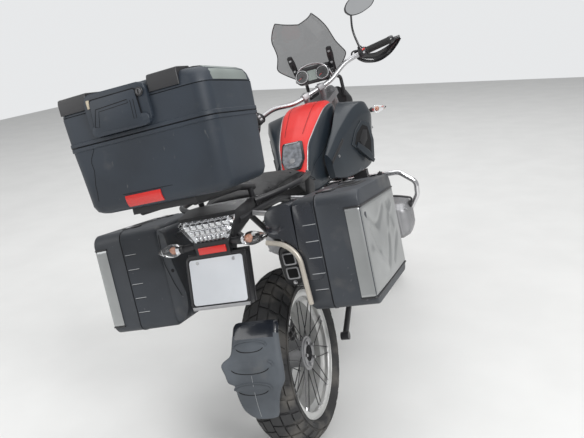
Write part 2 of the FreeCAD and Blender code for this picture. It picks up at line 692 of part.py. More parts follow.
cap_hinge = cap_low + cap_run * mm("cap_length") + cap_up * mm("cap_thickness")
knuckle = cross_rod(-30, 30, cap_hinge.y, cap_hinge.z, mm("knuckle_radius"))
knuckle_room = cross_rod(-31, 31, cap_hinge.y, cap_hinge.z, mm("knuckle_radius") + 2 * mm("pin_gap"))
tank = tank.cut(cap_block(3, 0, 160)).cut(knuckle_room)
add("fuel_tank", tank)
add("fuel_cap", joined([cap_block(0, mm("seat_gap"), mm("cap_thickness")), knuckle]))

panel_rows = (
    # forward, inner top, top height, outer reach, outer height, low reach, low height
    (640, 100, 905, 128, 880, 128, 800), (760, 122, 990, 168, 950, 166, 770), (900, 130, 1078, 225, 1010, 205, 760),
    (1000, 128, 1082, 262, 1010, 222, 770), (1060, 190, 1010, 250, 965, 215, 800),
)
loops = []
for y, inner, top, outer, outer_z, low_x, low_z in panel_rows:
    loops.append([V(inner, y, top), V(outer - 16, y, (top + outer_z) / 2 + 18), V(outer, y, outer_z), V(low_x, y, low_z),
                  V(low_x - 26, y, low_z), V(inner, y, outer_z - 40)])
panel = loft(loops)
add("tank_panels", Part.makeCompound(both_sides(panel)))

radiator_side = mm("engine_half") + mm("seat_gap")
radiator_foot = mm("engine_top") + mm("seat_gap")
radiator = box(V(radiator_side, 900, 636), V(radiator_side + 64, 942, 754))
radiator_bracket = box(V(100, 910, radiator_foot), V(radiator_side + 4, 934, radiator_foot + 14))
add("radiators", Part.makeCompound(both_sides(joined([radiator, radiator_bracket]))))

# Seats
def seat(rows):
    """A cushion through rows of (forward, half width, low, top)."""
    loops = []
    for y, half, z_low, z_top in rows:
        outline = [(half - 12, z_low), (half, z_low + 20), (half - 10, z_top - 12), (half * 0.6, z_top),
                   (-half * 0.6, z_top), (-half + 10, z_top - 12), (-half, z_low + 20), (-half + 12, z_low)]
        loops.append([V(x, y, z) for x, z in outline])
    return loft(loops)


seat_top = mm("seat_height")
rider_front = mm("tank_rear") - mm("seat_gap")
add("rider_seat", seat([(rider_front, 48, seat_top - 62, seat_top), (420, 92, seat_top - 65, seat_top - 8),
                        (300, 150, seat_top - 60, seat_top + 10), (212, 158, seat_top - 42.6, seat_top + 48)]))
add("passenger_seat", seat([(208, 150, seat_top - 30, seat_top + 58), (120, 142, seat_top + 35, seat_top + 78),
                            (-60, 120, seat_top + 45, seat_top + 78), (-130, 100, seat_top + 55, seat_top + 72)]))

# Tail unit, lamps and plate
tail_rows = (
    # forward, half width low, half width high, low, high
    (-130.3, 92, 112, 930, 952), (-230, 84, 104, 900, 968), (-316, 66, 96, 882, 962),
)
loops = []
for y, half_low, half_high, z_low, z_high in tail_rows:
    loops.append([V(half_low, y, z_low), V(half_high, y, z_high), V(-half_high, y, z_high), V(-half_low, y, z_low)])
tail = loft(loops)
for cutter in both_sides(tube(rail, mm("subframe_radius") + 0.3, 120)):
    tail = tail.cut(cutter)
tail = tail.cut(cross_rod(-140, 140, -210, 919, mm("subframe_radius") + 0.3))
rack_foot = V(90, -165, 0)
for s in (-1, 1):
    tail = tail.cut(rod(V(s * rack_foot.x, rack_foot.y, 900), V(s * rack_foot.x, rack_foot.y, 990), 9.3))
plate_centre = V(0, mm("plate_place"), mm("plate_centre"))
plate_up = V(0, math.sin(math.radians(mm("plate_tilt"))), math.cos(math.radians(mm("plate_tilt"))))
plate_out = V(0, -plate_up.z, plate_up.y)


def plate_block(half_width, half_height, depth_from, depth_to):
    """A block behind or before the licence plate; depths run rearward from its back face."""
    start = plate_centre - V(half_width, 0, 0) - plate_up * half_height + plate_out * depth_from
    loop = [start, start + V(2 * half_width, 0, 0), start + V(2 * half_width, 0, 0) + plate_up * (2 * half_height),
            start + plate_up * (2 * half_height)]
    return Part.Face(Part.makePolygon(loop + [loop[0]])).extrude(plate_out * (depth_to - depth_from))


holder = plate_block(mm("plate_width") / 2 + 7, mm("plate_height") / 2 + 7, -8, 0)
holder_arm = flat_bar(V(0, -250, 905), plate_centre + plate_up * 40 - plate_out * 20, V(1, 0, 0), 90, 26)
lamp_stalks = both_sides(tube([V(50, -282, 900), V(88, -282, 862), V(110, -282, 862)], 8, 12))
add("tail_unit", joined([tail, holder, holder_arm] + lamp_stalks))
add("licence_plate", plate_block(mm("plate_width") / 2, mm("plate_height") / 2, mm("seat_gap"),
                                 mm("seat_gap") + mm("plate_thickness")))

lamp = loft([[V(88, -316.3, 950), V(-88, -316.3, 950), V(-56, -316.3, 892), V(56, -316.3, 892)],
             [V(84, -330, 944), V(-84, -330, 944), V(-52, -338, 896), V(52, -338, 896)]])
add("tail_lamp", lamp)


def indicator(x_in, x_out, y, z):
    """A turn lamp, a flattened loft from its stalk end to its tip."""
    rows = ((0.0, 13, 12), (0.45, 24, 17), (1.0, 12, 9))
    loops = []
    for share, half_y, half_z in rows:
        x = x_in + (x_out - x_in) * share
        loops.append([V(x, y - half_y, z), V(x, y, z + half_z), V(x, y + half_y, z), V(x, y, z - half_z)])
    return loft(loops)


lamps = both_sides(indicator(110.3, 206, -282, 862)) + both_sides(indicator(214, 292, 1292, 985))
add("indicators", Part.makeCompound(lamps))

# Spray guard behind the rear tyre, on an arm from the final drive
def arc_shell(centre, inner, outer, start_angle, end_angle, x_low, x_high):
    """A shell about an axle; angles in degrees above the rearward horizontal."""
    corners = []
    for radius, order in ((inner, 1), (outer, -1)):
        angles = (start_angle, (start_angle + end_angle) / 2, end_angle)[::order]
        corners.append([V(x_low, centre.y - radius * math.cos(math.radians(a)),
                          centre.z + radius * math.sin(math.radians(a))) for a in angles])
    edges = [Part.Arc(*corners[0]).toShape(), Part.LineSegment(corners[0][2], corners[1][0]).toShape(),
             Part.Arc(*corners[1]).toShape(), Part.LineSegment(corners[1][2], corners[0][0]).toShape()]
    return Part.Face(Part.Wire(edges)).extrude(V(x_high - x_low, 0, 0))


guard_inner = mm("rear_tyre_radius") + mm("guard_gap")
half = mm("guard_width") / 2
guard = arc_shell(REAR_AXLE, guard_inner, guard_inner + mm("guard_thickness"), -4, 52, -half, half)
arm_start = V(-120, -60, mm("rear_tyre_radius") + 20)
arm_mid = V(-112, -250, 420)
arm_tip = V(-86, -mm("guard_thickness") / 2 - guard_inner * math.cos(math.radians(24)),
            mm("rear_tyre_radius") + guard_inner * math.sin(math.radians(24)))
guard_arm = tube([arm_start, arm_mid, arm_tip], 11, 40)
guard_arm = guard_arm.cut(cross_rod(-mm("drive_outer"), 0, REAR_AXLE.y, REAR_AXLE.z, mm("drive_radius") + 0.3))
add("spray_guard", joined([guard, guard_arm]))

# Luggage rack and pannier rack
tilt = math.radians(mm("case_tilt"))
case_forward = V(0, math.cos(tilt), -math.sin(tilt))
case_up = V(0, math.sin(tilt), math.cos(tilt))
case_origin = V(0, mm("case_rear"), mm("case_floor"))
case_frame = FreeCAD.Placement(case_origin, FreeCAD.Rotation(V(1, 0, 0), -mm("case_tilt")))


def in_case(x, along, up):
    """A point of the top case's own frame."""
    return case_origin + V(x, 0, 0) + case_forward * along + case_up * up


rack_plate = box(V(-95, 40, -16.3), V(95, 300, -0.3))
rack_plate.Placement = case_frame
rack_rails = both_sides(tube([V(90, -140, 984), in_case(80, 330, -22), in_case(80, 60, -14)], 10, 60))
rail_top = 915.3 + mm("subframe_radius") + mm("seat_gap")
rack_feet = both_sides(rod(V(rack_foot.x, rack_foot.y, rail_top), V(rack_foot.x, rack_foot.y, 986), 9))
add("luggage_rack", joined([rack_plate] + rack_rails + rack_feet))

BOX_ROWS = {
    # side name: side, inner face, tray depth, lid depth
    "right": (1, mm("right_box_face"), mm("right_tray_depth"), mm("right_lid_depth")),
    "left": (-1, mm("left_box_face"), mm("left_tray_depth"), mm("left_lid_depth")),
}


def box_frame(side_name):
    """Placement of a pannier's own frame, at the lower rear corner of its inner face."""
    side, face, _, _ = BOX_ROWS[side_name]
    turn = FreeCAD.Rotation(V(1, 0, 0), -mm("box_pitch"))
    flare = FreeCAD.Rotation(V(0, 0, 1), -side * mm("box_flare"))
    return FreeCAD.Placement(V(side * face, mm("box_rear"), mm("box_floor")), flare.multiply(turn))


rack_radius = mm("rack_radius")
hoops = []
for side_name in BOX_ROWS:
    side = BOX_ROWS[side_name][0]
    frame = box_frame(side_name)
    hoop_x = -side * (rack_radius + mm("seat_gap"))
    hoop_rows = ((400, 200), (400, 290), (60, 275), (60, 40), (400, 40), (400, 190))
    hoop = tube([frame.multVec(V(hoop_x, y, z)) for y, z in hoop_rows], rack_radius, 40)
    stays = []
    for y, z, target in ((90, 276, V(side * 99.5, -215, 920)), (360, 288, V(side * 125.6, 60, 881))):
        stays.append(rod(frame.multVec(V(hoop_x, y, z)), target, rack_radius))
    hoops.append(joined([hoop] + stays))
add("pannier_rack", Part.makeCompound(hoops))

# Top case, hinged along its front edge
wall = mm("case_wall")
base_height = mm("case_base_height")
lid_height = mm("case_lid_height")
width = mm("case_width")
length = mm("case_length")
corner = mm("case_corner")
middle = length / 2


def shrunk(rows, wall_thickness, lift_first, lift_last):
    """Rows of a case solid moved inward by a wall, with the first and last heights moved."""
    inner = [[z, w - 2 * wall_thickness, l - 2 * wall_thickness, r - wall_thickness, s] for z, w, l, r, s in rows]
    inner[0][0] += lift_first
    inner[-1][0] += lift_last
    return inner


base_rows = [[0, width - 60, length - 62, corner, middle], [16, width - 16, length - 20, corner, middle],
             [base_height, width, length, corner, middle]]
lid_rows = [[base_height + mm("seat_gap"), width, length, corner, middle],
            [base_height + lid_height * 0.72, width + 6, length - 6, corner, middle],
            [base_height + lid_height, width - 46, length - 52, corner, middle]]
hinge_along = length + mm("hinge_offset")
barrel_half = 60
hinge_end = 116
base_shell = case_solid(base_rows).cut(case_solid(shrunk(base_rows, wall, wall, 1)))
lid_shell = case_solid(lid_rows).cut(case_solid(shrunk(lid_rows, wall, -1, -wall)))
base_hinge = [cross_rod(-barrel_half, barrel_half, hinge_along, base_height, mm("hinge_radius")),
              box(V(-barrel_half, length - 2, base_height - 14), V(barrel_half, hinge_along, base_height - 4))]
lid_hinge = []
for s in (-1, 1):
    ends = sorted((s * (barrel_half + 1), s * hinge_end))
    lid_hinge.append(cross_rod(ends[0], ends[1], hinge_along, base_height, mm("hinge_radius")))
    lid_hinge.append(box(V(ends[0], length - 2, base_height + 3), V(ends[1], hinge_along, base_height + 13)))
add("topcase_base", joined([base_shell] + base_hinge), CHASSIS.multiply(case_frame))
handle = tube([V(-82, 2, base_height + 52), V(-82, -20, base_height + 46), V(76, -20, base_height + 46),
               V(76, 2, base_height + 52)], 9, 8)
add("topcase_lid", joined([lid_shell, handle] + lid_hinge), CHASSIS.multiply(case_frame))

# Panniers: an inner tray on the rack and an outer lid hinged along its lower edge
pannier_hinges = []


def pannier(side_name):
    """Tray and lid of one pannier."""
    length = mm("box_length")
    height = mm("box_height")
    side, _, tray, lid = BOX_ROWS[side_name]
    wall = mm("box_wall")
    gap = mm("seat_gap")
    cut = mm("box_corner")

    def section(depth, inset):
        """A loop round the box at a distance from its inner face."""
        y_low, y_high = inset, length - inset
        z_low, z_high = inset, height - inset
        c = cut
        outline = [(y_low + c, z_low), (y_high - c, z_low), (y_high, z_low + c), (y_high, z_high - c),
                   (y_high - c, z_high), (y_low + c, z_high), (y_low, z_high - c), (y_low, z_low + c)]
        return [V(side * depth, y, z) for y, z in outline]

    tray_shell = loft([section(0, 10), section(12, 0), section(tray, 0)]).cut(
        loft([section(wall, 10 + wall), section(12, wall), section(tray + 1, wall)]))
    lid_end = tray + gap + lid
    lid_shell = loft([section(tray + gap, 0), section(lid_end - 14, 0), section(lid_end, 12)]).cut(
        loft([section(tray + gap - 1, wall), section(lid_end - 14, wall), section(lid_end - wall, 12)]))
    if side > 0:
        notch = box(V(-1, -1, 78), V(20, 300, 263))
        liner = box(V(0, 0, 74), V(24, 304, 267)).common(
            loft([section(0, 10), section(12, 0), section(tray, 0)]))
        tray_shell = joined([tray_shell, liner]).cut(notch)
    hinge_z = -mm("hinge_radius") - 2
    hinge_x = tray + gap / 2
    tray_hinge = [rod(V(side * hinge_x, 150, hinge_z), V(side * hinge_x, 290, hinge_z), mm("hinge_radius"))]
    xs = sorted((side * (hinge_x - 12), side * (hinge_x - 3)))
    tray_hinge.append(box(V(xs[0], 150, hinge_z), V(xs[1], 290, 3)))
    lid_hinge = []
    for y_start, y_end in ((96, 149), (291, 344)):
        lid_hinge.append(rod(V(side * hinge_x, y_start, hinge_z), V(side * hinge_x, y_end, hinge_z), mm("hinge_radius")))
        xs = sorted((side * (hinge_x + 3), side * (hinge_x + 12)))
        lid_hinge.append(box(V(xs[0], y_start, hinge_z), V(xs[1], y_end, 3)))
    frame = box_frame(side_name)
    add(f"pannier_{side_name}_tray", joined([tray_shell] + tray_hinge), CHASSIS.multiply(frame))
    add(f"pannier_{side_name}_lid", joined([lid_shell] + lid_hinge), CHASSIS.multiply(frame))
    pannier_hinges.append((f"pannier_{side_name}_lid", CHASSIS.multiply(frame), V(side * hinge_x, 0, hinge_z),
                           V(0, side, 0)))


for side_name in BOX_ROWS:
    pannier(side_name)

# Beak, headlamp, instruments and screen
beak_rows = (
    # forward, half width, low, high
    (1345, 118, 935, 1000), (1470, 104, 915, 965), (1640, 62, 880, 905),
)
loops = []
for y, half_width, z_low, z_high in beak_rows:
    loops.append([V(half_width, y, z_low), V(half_width * 0.85, y, z_high), V(-half_width * 0.85, y, z_high),
                  V(-half_width, y, z_low)])
beak = loft(loops)
wing_rows = (
    # forward, inner, outer, low, high
    (1060.3, 196, 214, 905, 995), (1200, 186, 206, 930, 1020), (1345, 80, 118, 935, 1000),
)
loops = []
for y, inner, outer, z_low, z_high in wing_rows:
    loops.append([V(inner, y, z_low), V(outer, y, z_low + 10), V(outer - 6, y, z_high), V(inner, y, z_high)])
lamp_posts = both_sides(cross_rod(128, 213.7, 1292, 985, 8)) + both_sides(rod(V(60, 1350, 980), V(60, 1350, 1006.4), 8))
add("beak", joined([beak] + both_sides(loft(loops)) + lamp_posts))

lamp_rows = ((1300, 105, 1022, 1150), (1340, 118, 1012, 1120), (1378, 96, 1001, 1085))
loops = []
for y, half_width, z_low, z_high in lamp_rows:
    loops.append([V(half_width - 14, y, z_low), V(half_width, y, (z_low + z_high) / 2), V(half_width - 26, y, z_high),
                  V(-half_width + 26, y, z_high), V(-half_width, y, (z_low + z_high) / 2), V(-half_width + 14, y, z_low)])
add("headlamp", loft(loops))

dash = loft([[V(78, 1142, 1212), V(78, 1120, 1268), V(-78, 1120, 1268), V(-78, 1142, 1212)],
             [V(84, 1202, 1214), V(84, 1186, 1280), V(-84, 1186, 1280), V(-84, 1202, 1214)]])
carrier = both_sides(tube([V(70, 1192, 1220), V(94, 1290.7, 1190), V(94, 1290.7, 1090)], 9, 20))
bracket_low = V(96, 1185, 1236)
bracket_high = V(104, 1142, 1345)
brackets = both_sides(flat_bar(bracket_low, bracket_high, V(1, 0, 0), 26, 8))
lugs = both_sides(rod(V(78, 1170, 1240), V(98, 1185, 1246), 9))


def screen_loop(z, y_mid, half_width, sweep, thick):
    """A curved strip of the screen, seen from above."""
    outer = [V(half_width, y_mid - sweep, z), V(0, y_mid, z), V(-half_width, y_mid - sweep, z)]
    inner = [V(-half_width, y_mid - sweep - thick, z), V(0, y_mid - thick, z), V(half_width, y_mid - sweep - thick, z)]
    edges = [Part.Arc(*outer).toShape(), Part.LineSegment(outer[2], inner[0]).toShape(),
             Part.Arc(*inner).toShape(), Part.LineSegment(inner[2], outer[0]).toShape()]
    return Part.Wire(edges)


screen_rows = (
    # height, middle forward, half width, sweep back at the sides
    (1225, 1240, 105, 24), (1300, 1208, 182, 56), (1365, 1168, 158, 48), (1440, 1118, 145, 46), (1515, 1066, 92, 42),
)
screen = Part.makeLoft([screen_loop(*row, mm("screen_thickness")) for row in screen_rows], True, True)
add("windscreen", screen)


def screen_back(x, z):
    """Forward place of the screen's rear face at a side distance and height."""
    for lower, upper in zip(screen_rows, screen_rows[1:]):
        if lower[0] <= z <= upper[0]:
            share = (z - lower[0]) / (upper[0] - lower[0])
            y_mid, half_width, sweep = (a + (b - a) * share for a, b in zip(lower[1:], upper[1:]))
    radius = (half_width**2 + sweep**2) / (2 * sweep)
    return y_mid - mm("screen_thickness") - (radius - math.sqrt(radius**2 - x**2))


screen_pins = []
for share in (0.35, 0.85):
    root = bracket_low + (bracket_high - bracket_low) * share
    screen_pins += both_sides(rod(root, V(root.x, screen_back(root.x + 6, root.z + 6) - 0.6, root.z), 6))
add("instrument_panel", joined([dash] + carrier + brackets + lugs + screen_pins))

# Fork, yoke, bridge and handlebar
lead = mm("axle_lead")
yoke_centre = steering_point(mm("yoke_height"))
bridge_centre = steering_point(mm("bridge_height"))
fork_out = V(mm("fork_half"), 0, 0)


def cross_plate(centre, thickness, reach):
    """A clamp plate across both fork tubes, square to the steering axis."""
    base = centre - STEER_AXIS * (thickness / 2)
    half = mm("fork_half")
    outline = [(-half - reach, lead - 26), (-half - reach, lead + 26), (-half + 6, lead + 26), (-40, lead + 12),
               (40, lead + 12), (half - 6, lead + 26), (half + reach, lead + 26), (half + reach, lead - 26),
               (36, -34), (-36, -34)]
    loop = [base + V(x, 0, 0) + STEER_FORWARD * f for x, f in outline]
    return Part.Face(Part.makePolygon(loop + [loop[0]])).extrude(STEER_AXIS * thickness)


axle_along = (FRONT_AXLE - steering_point(0)).dot(STEER_AXIS)


def fork_point(x, along):
    """A point of a fork tube's centre line, by its distance along the steering axis."""
    return steering_point(0) + V(x, 0, 0) + STEER_FORWARD * lead + STEER_AXIS * along


yoke_along = (yoke_centre - steering_point(0)).dot(STEER_AXIS)
tube_top = yoke_along + mm("yoke_thickness") / 2 + 12
leg_top = axle_along + mm("fork_leg_length")
tubes = []
for s in (-1, 1):
    x = s * mm("fork_half")
    leg = rod(fork_point(x, axle_along - 34), fork_point(x, leg_top), mm("fork_leg_radius"))
    stanchion = rod(fork_point(x, leg_top - 30), fork_point(x, tube_top), mm("fork_tube_radius"))
    axle_hole = cross_rod(x - 40, x + 40, FRONT_AXLE.y, FRONT_AXLE.z, mm("front_axle_radius"))
    tubes.append(joined([leg, stanchion]).cut(axle_hole))
axle = cross_rod(-mm("fork_half") - 30, mm("fork_half") + 30, FRONT_AXLE.y, FRONT_AXLE.z, mm("front_axle_radius"))
add("fork_legs", joined(tubes + [axle]), STEERING)

bores = [rod(fork_point(s * mm("fork_half"), 0), fork_point(s * mm("fork_half"), tube_top + 20),
             mm("fork_tube_radius") + 0.2) for s in (-1, 1)]
yoke = cross_plate(yoke_centre, mm("yoke_thickness"), 26)
bridge = cross_plate(bridge_centre, mm("bridge_thickness"), 26)
stem = rod(head_low - STEER_AXIS * 4, yoke_centre, mm("stem_radius"))
ball_pin = rod(ball - STEER_AXIS * 10, bridge_centre, mm("stem_radius"))
bar_middle = V(0, steering_point(mm("bar_height")).y + 8, mm("bar_height") - 14)
risers = [rod(yoke_centre + V(s * 46, 6, 6), bar_middle + V(s * 46, 0, -4), 16) for s in (-1, 1)]
bar_bore = cross_rod(-120, 120, bar_middle.y, bar_middle.z, mm("bar_radius") + 0.2)
yoke_part = joined([yoke, stem] + risers)
bridge_part = joined([bridge, ball_pin])
for bore in bores:
    yoke_part = yoke_part.cut(bore)
    bridge_part = bridge_part.cut(bore)
add("fork_yoke", Part.makeCompound([yoke_part.cut(bar_bore), bridge_part]), STEERING)

bar_rows = (
    # side, forward of the middle, above the middle
    (446, -88, 14), (289, -28, 36), (215, -8, 38), (112, 0, 0), (0, 0, 0),
)
bar_half_path = [bar_middle + V(x, y, z) for x, y, z in bar_rows]
bar_path = bar_half_path[:-1] + [V(-p.x, p.y, p.z) for p in reversed(bar_half_path[:-1])]
add("handlebar", tube(bar_path, mm("bar_radius"), 40), STEERING)

grip_run = (bar_half_path[0] - bar_half_path[1]).normalize()
grip_start = bar_half_path[0] - grip_run * mm("grip_length")


def hollow_rod(start, end, outer, inner):
    """A sleeve between two points."""
    run = end.sub(start).normalize()
    return rod(start, end, outer).cut(rod(start - run, end + run, inner))


grip = hollow_rod(grip_start, bar_half_path[0], mm("grip_radius"), mm("bar_radius") + 0.2)
cap = rod(bar_half_path[0] + grip_run * 0.2, bar_half_path[0] + grip_run * 12, mm("grip_radius"))
pod = hollow_rod(grip_start - grip_run * 36, grip_start - grip_run * 2, 25, mm("bar_radius") + 0.2)
lever_root = grip_start + V(-10, 34, -4)
lever = tube([lever_root, lever_root + V(40, 22, -2), lever_root + V(150, -8, -6)], 6, 20)
lever_mount = rod(grip_start - grip_run * 16 + V(0, 18, 0), lever_root, 9)
shield_rows = ((-30, 64, -46, 30), (60, 70, -58, 44), (140, 42, -52, 40), (176, 4, -36, 26))
loops = []
for along, forward, z_low, z_high in shield_rows:
    origin = grip_start + grip_run * along
    loops.append([origin + V(0, forward, z_low), origin + V(0, forward + 5, z_low),
                  origin + V(0, forward + 5, z_high), origin + V(0, forward, z_high)])
shield = loft(loops)
shield_stay = rod(bar_half_path[0] + grip_run * 8, grip_start + grip_run * 176 + V(0, 6, -4), 8)
pod_stay = rod(grip_start - grip_run * 20 + V(0, 20, 0), grip_start - grip_run * 20 + V(0, 68, -4), 8)
guarded = cap.multiFuse([pod, lever, lever_mount, shield, shield_stay, pod_stay])
add("hand_controls", Part.makeCompound(both_sides(grip) + both_sides(guarded)), STEERING)

mirror_foot = grip_start - grip_run * 20 + V(0, 0, 25.8)
mirror_centre = V(440, mirror_foot.y + 26, mirror_foot.z + 185)
stalk = tube([mirror_foot, mirror_foot + V(12, 6, 90), mirror_centre + V(-60, 6, -14)], 6, 40)
mirror_half_width = mm("mirror_width") / 2
mirror_half_height = mm("mirror_height") / 2
outline = [(-1, -0.2), (-0.7, -0.8), (0.1, -1), (0.8, -0.7), (1, 0), (0.8, 0.75), (0.1, 1), (-0.6, 0.7)]
loop = [mirror_centre + V(u * mirror_half_width, 0, w * mirror_half_height) for u, w in outline]
glass = Part.Face(Part.makePolygon(loop + [loop[0]])).extrude(V(0, 22, 0))
add("mirrors", Part.makeCompound(both_sides(joined([stalk, glass]))), STEERING)

# Front mudguard on the fork legs, and the brake calipers
fender_inner = mm("front_tyre_radius") + 16
half = mm("front_tyre_width") / 2 + 12
fender = arc_shell(FRONT_AXLE, fender_inner, fender_inner + 5, 30, 118, -half, half)
fender_stays = []
for s in (-1, 1):
    foot = fork_point(s * (mm("fork_half") - mm("fork_leg_radius") - 0.3), leg_top - 20)
    fender_stays.append(rod(foot, V(s * (half - 4), foot.y, foot.z), 12))
    wall_edges = sorted((s * half, s * (half - 5)))
    fender_stays.append(arc_shell(FRONT_AXLE, fender_inner - 22, fender_inner + 5, 40, 110, *wall_edges))
add("front_fender", joined([fender] + fender_stays), STEERING)


def caliper(centre, place, disc_radius, angle, half_thick, run):
    """A brake caliper that bridges the rim of a disc; angle is above the rearward horizontal."""
    radial = V(0, -math.cos(math.radians(angle)), math.sin(math.radians(angle)))
    gap = mm("disc_thickness") / 2 + mm("run_gap")
    body_start = centre + V(place, 0, 0) + radial * (disc_radius - mm("disc_band") + 4)
    block = flat_bar(body_start, body_start + radial * (mm("disc_band") + 18), V(1, 0, 0), 2 * half_thick, run)
    slot_start = body_start - radial * 2
    slot = flat_bar(slot_start, slot_start + radial * (mm("disc_band") - 2 + mm("run_gap")), V(1, 0, 0), 2 * gap, run + 4)
    return block.cut(slot)


calipers = []
leg_back = V(0, -STEER_AXIS.z, STEER_AXIS.y)
for s in (-1, 1):
    block = caliper(FRONT_AXLE, s * mm("front_disc_place"), mm("front_disc_radius"), 28, 20, 90)
    bracket_root = FRONT_AXLE + V(s * 100, 0, 0) + STEER_AXIS * 119
    bracket_root += leg_back * (mm("fork_leg_radius") + mm("seat_gap"))
    calipers.append(block.fuse(flat_bar(bracket_root, bracket_root + leg_back * 50, V(1, 0, 0), 24, 44)))
add("front_calipers", Part.makeCompound(calipers), STEERING)

# Foot pegs with their plates
rider_peg = V(190, 566, 372)
rear_peg = V(252, 236, 505)
foot_rests = [
    cross_rod(rider_peg.x, rider_peg.x + 100, rider_peg.y, rider_peg.z, 12),
    tube([V(181.2, rider_peg.y - 14, 470), V(190, rider_peg.y - 6, 440), rider_peg + V(0, 0, -12)], 9, 30),
    tube([rider_peg + V(2, 0, -4), V(196, 640, 340), V(196, 735, 345)], 6, 25),
]
rear_rests = [
    cross_rod(rear_peg.x, rear_peg.x + 85, rear_peg.y, rear_peg.z, 12),
    tube([V(150.8, 262, 790), V(252, 250, 700), rear_peg], 9, 50),
]
add("foot_pegs", Part.makeCompound(both_sides(joined(foot_rests)) + both_sides(joined(rear_rests))))

# Centre stand, folded up under the engine
leg = mm("centre_leg")
centre_pivot = V(0, mm("centre_pivot_place"), mm("centre_pivot_height"))
legs = []
for s in (-1, 1):
    x = s * mm("centre_half")
    top = V(x, centre_pivot.y, centre_pivot.z)
    end = V(s * (mm("centre_half") + 32), centre_pivot.y - leg, centre_pivot.z - 40)
    legs.append(rod(top, end, 12))
    legs.append(cross_rod(end.x - 16, end.x + 16, end.y, end.z, 16))
legs.append(cross_rod(-mm("centre_half") - 10, mm("centre_half") + 10, centre_pivot.y, centre_pivot.z, 15))
add("centre_stand", joined(legs))

# Joint lines, printed in metres for the record
case_place = CHASSIS.multiply(case_frame)
JOINTS = [
    ("steering", CHASSIS, steering_point(0), STEER_AXIS),
    ("front_wheel", STEERING, FRONT_AXLE, V(1, 0, 0)),
    ("rear_wheel", CHASSIS, REAR_AXLE, V(1, 0, 0)),
    ("side_stand", CHASSIS, stand_pivot, -stand_axis),
    ("centre_stand", CHASSIS, centre_pivot, V(1, 0, 0)),
    ("topcase_lid", case_place, V(0, hinge_along, base_height), V(-1, 0, 0)),
    ("fuel_cap", CHASSIS, cap_hinge, V(-1, 0, 0)),
] + pannier_hinges

# Check and export
doc.recompute()
for item in doc.Objects:
    if "Invalid" in item.State or "Error" in item.State:
        raise RuntimeError(f"{item.Label} failed: {item.State}")
for item in PIECES:
    if item.Shape.isNull() or not item.Shape.isValid():
        raise RuntimeError(f"{item.Label} has no valid shape")
for item in PIECES:
    item.Shape.exportStep(f"parts/{item.Label}.step")
    print(item.Label, len(item.Shape.Solids), round(item.Shape.Volume / 1000), "cm3")
print("side stand folds by", round(math.degrees(leg_down.getAngle(folded_stand)), 1), "degrees")
for name, frame, point, axis in JOINTS:
    place = frame.multVec(point) / 1000
    line = frame.Rotation.multVec(axis)
    print("JOINT", name, *(round(value, 6) for value in (place.x, place.y, place.z, line.x, line.y, line.z)))
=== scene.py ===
import json
from math import asin, atan2, copysign, cos, exp, hypot, pi, radians, sin

import bmesh
import bpy
from mathutils import Matrix, Vector


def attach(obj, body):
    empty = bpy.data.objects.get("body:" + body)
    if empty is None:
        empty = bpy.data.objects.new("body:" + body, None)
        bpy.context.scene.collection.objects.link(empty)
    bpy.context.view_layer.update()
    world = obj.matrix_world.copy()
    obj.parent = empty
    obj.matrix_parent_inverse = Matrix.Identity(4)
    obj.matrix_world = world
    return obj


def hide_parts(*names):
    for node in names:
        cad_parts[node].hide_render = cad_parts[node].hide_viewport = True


# An adventure motorcycle on its side stand, dressed for rendering.
# Shapes are drawn in mm in the frames below, then placed in the row frame in metres.

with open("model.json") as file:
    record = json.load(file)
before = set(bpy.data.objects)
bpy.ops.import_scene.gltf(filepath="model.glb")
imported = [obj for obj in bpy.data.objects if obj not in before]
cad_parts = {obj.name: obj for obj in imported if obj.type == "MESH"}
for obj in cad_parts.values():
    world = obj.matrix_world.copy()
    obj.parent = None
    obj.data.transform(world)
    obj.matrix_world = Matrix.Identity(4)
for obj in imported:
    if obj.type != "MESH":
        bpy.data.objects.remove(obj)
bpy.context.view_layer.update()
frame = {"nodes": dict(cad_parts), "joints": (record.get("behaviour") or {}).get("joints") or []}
nodes = frame["nodes"]
joints = {joint["name"]: joint for joint in frame["joints"]}

# Frames of the machine
AXLE_HEIGHT = 318
STAND_FORWARD = 520
STAND_HEIGHT = 290
STEER_ANGLE = radians(40)
MM = Matrix.Scale(0.001, 4)


def chassis_frame():
    """The upright machine's frame as it stands in the row: X right, Y forward, Z up, under the rear axle."""
    wheel = joints["rear_wheel_hinge"]
    along_x = Vector(wheel["axis"]).normalized()
    to_stand = Vector(joints["centre_stand_hinge"]["pos_m"]) - Vector(wheel["pos_m"])
    drop = atan2(STAND_HEIGHT - AXLE_HEIGHT, STAND_FORWARD)
    along_y = (Matrix.Rotation(-drop, 3, along_x) @ to_stand).normalized()
    along_z = along_x.cross(along_y)
    origin = Vector(wheel["pos_m"]) - along_z * AXLE_HEIGHT * 0.001
    turn = Matrix((along_x, along_y, along_z)).transposed().to_4x4()
    return Matrix.Translation(origin) @ turn @ MM


def steering_frame(chassis):
    """The fork's frame, turned to the left stop."""
    axis = joints["steering_hinge"]
    place = Matrix.Translation(Vector(axis["pos_m"]))
    turn = Matrix.Rotation(STEER_ANGLE, 4, Vector(axis["axis"]))
    return place @ turn @ place.inverted() @ chassis


def local(x, y, z, pitch, yaw=0):
    """A frame inside the machine's frame, in mm and degrees."""
    turn = Matrix.Rotation(radians(yaw), 4, "Z") @ Matrix.Rotation(radians(pitch), 4, "X")
    return Matrix.Translation((x, y, z)) @ turn


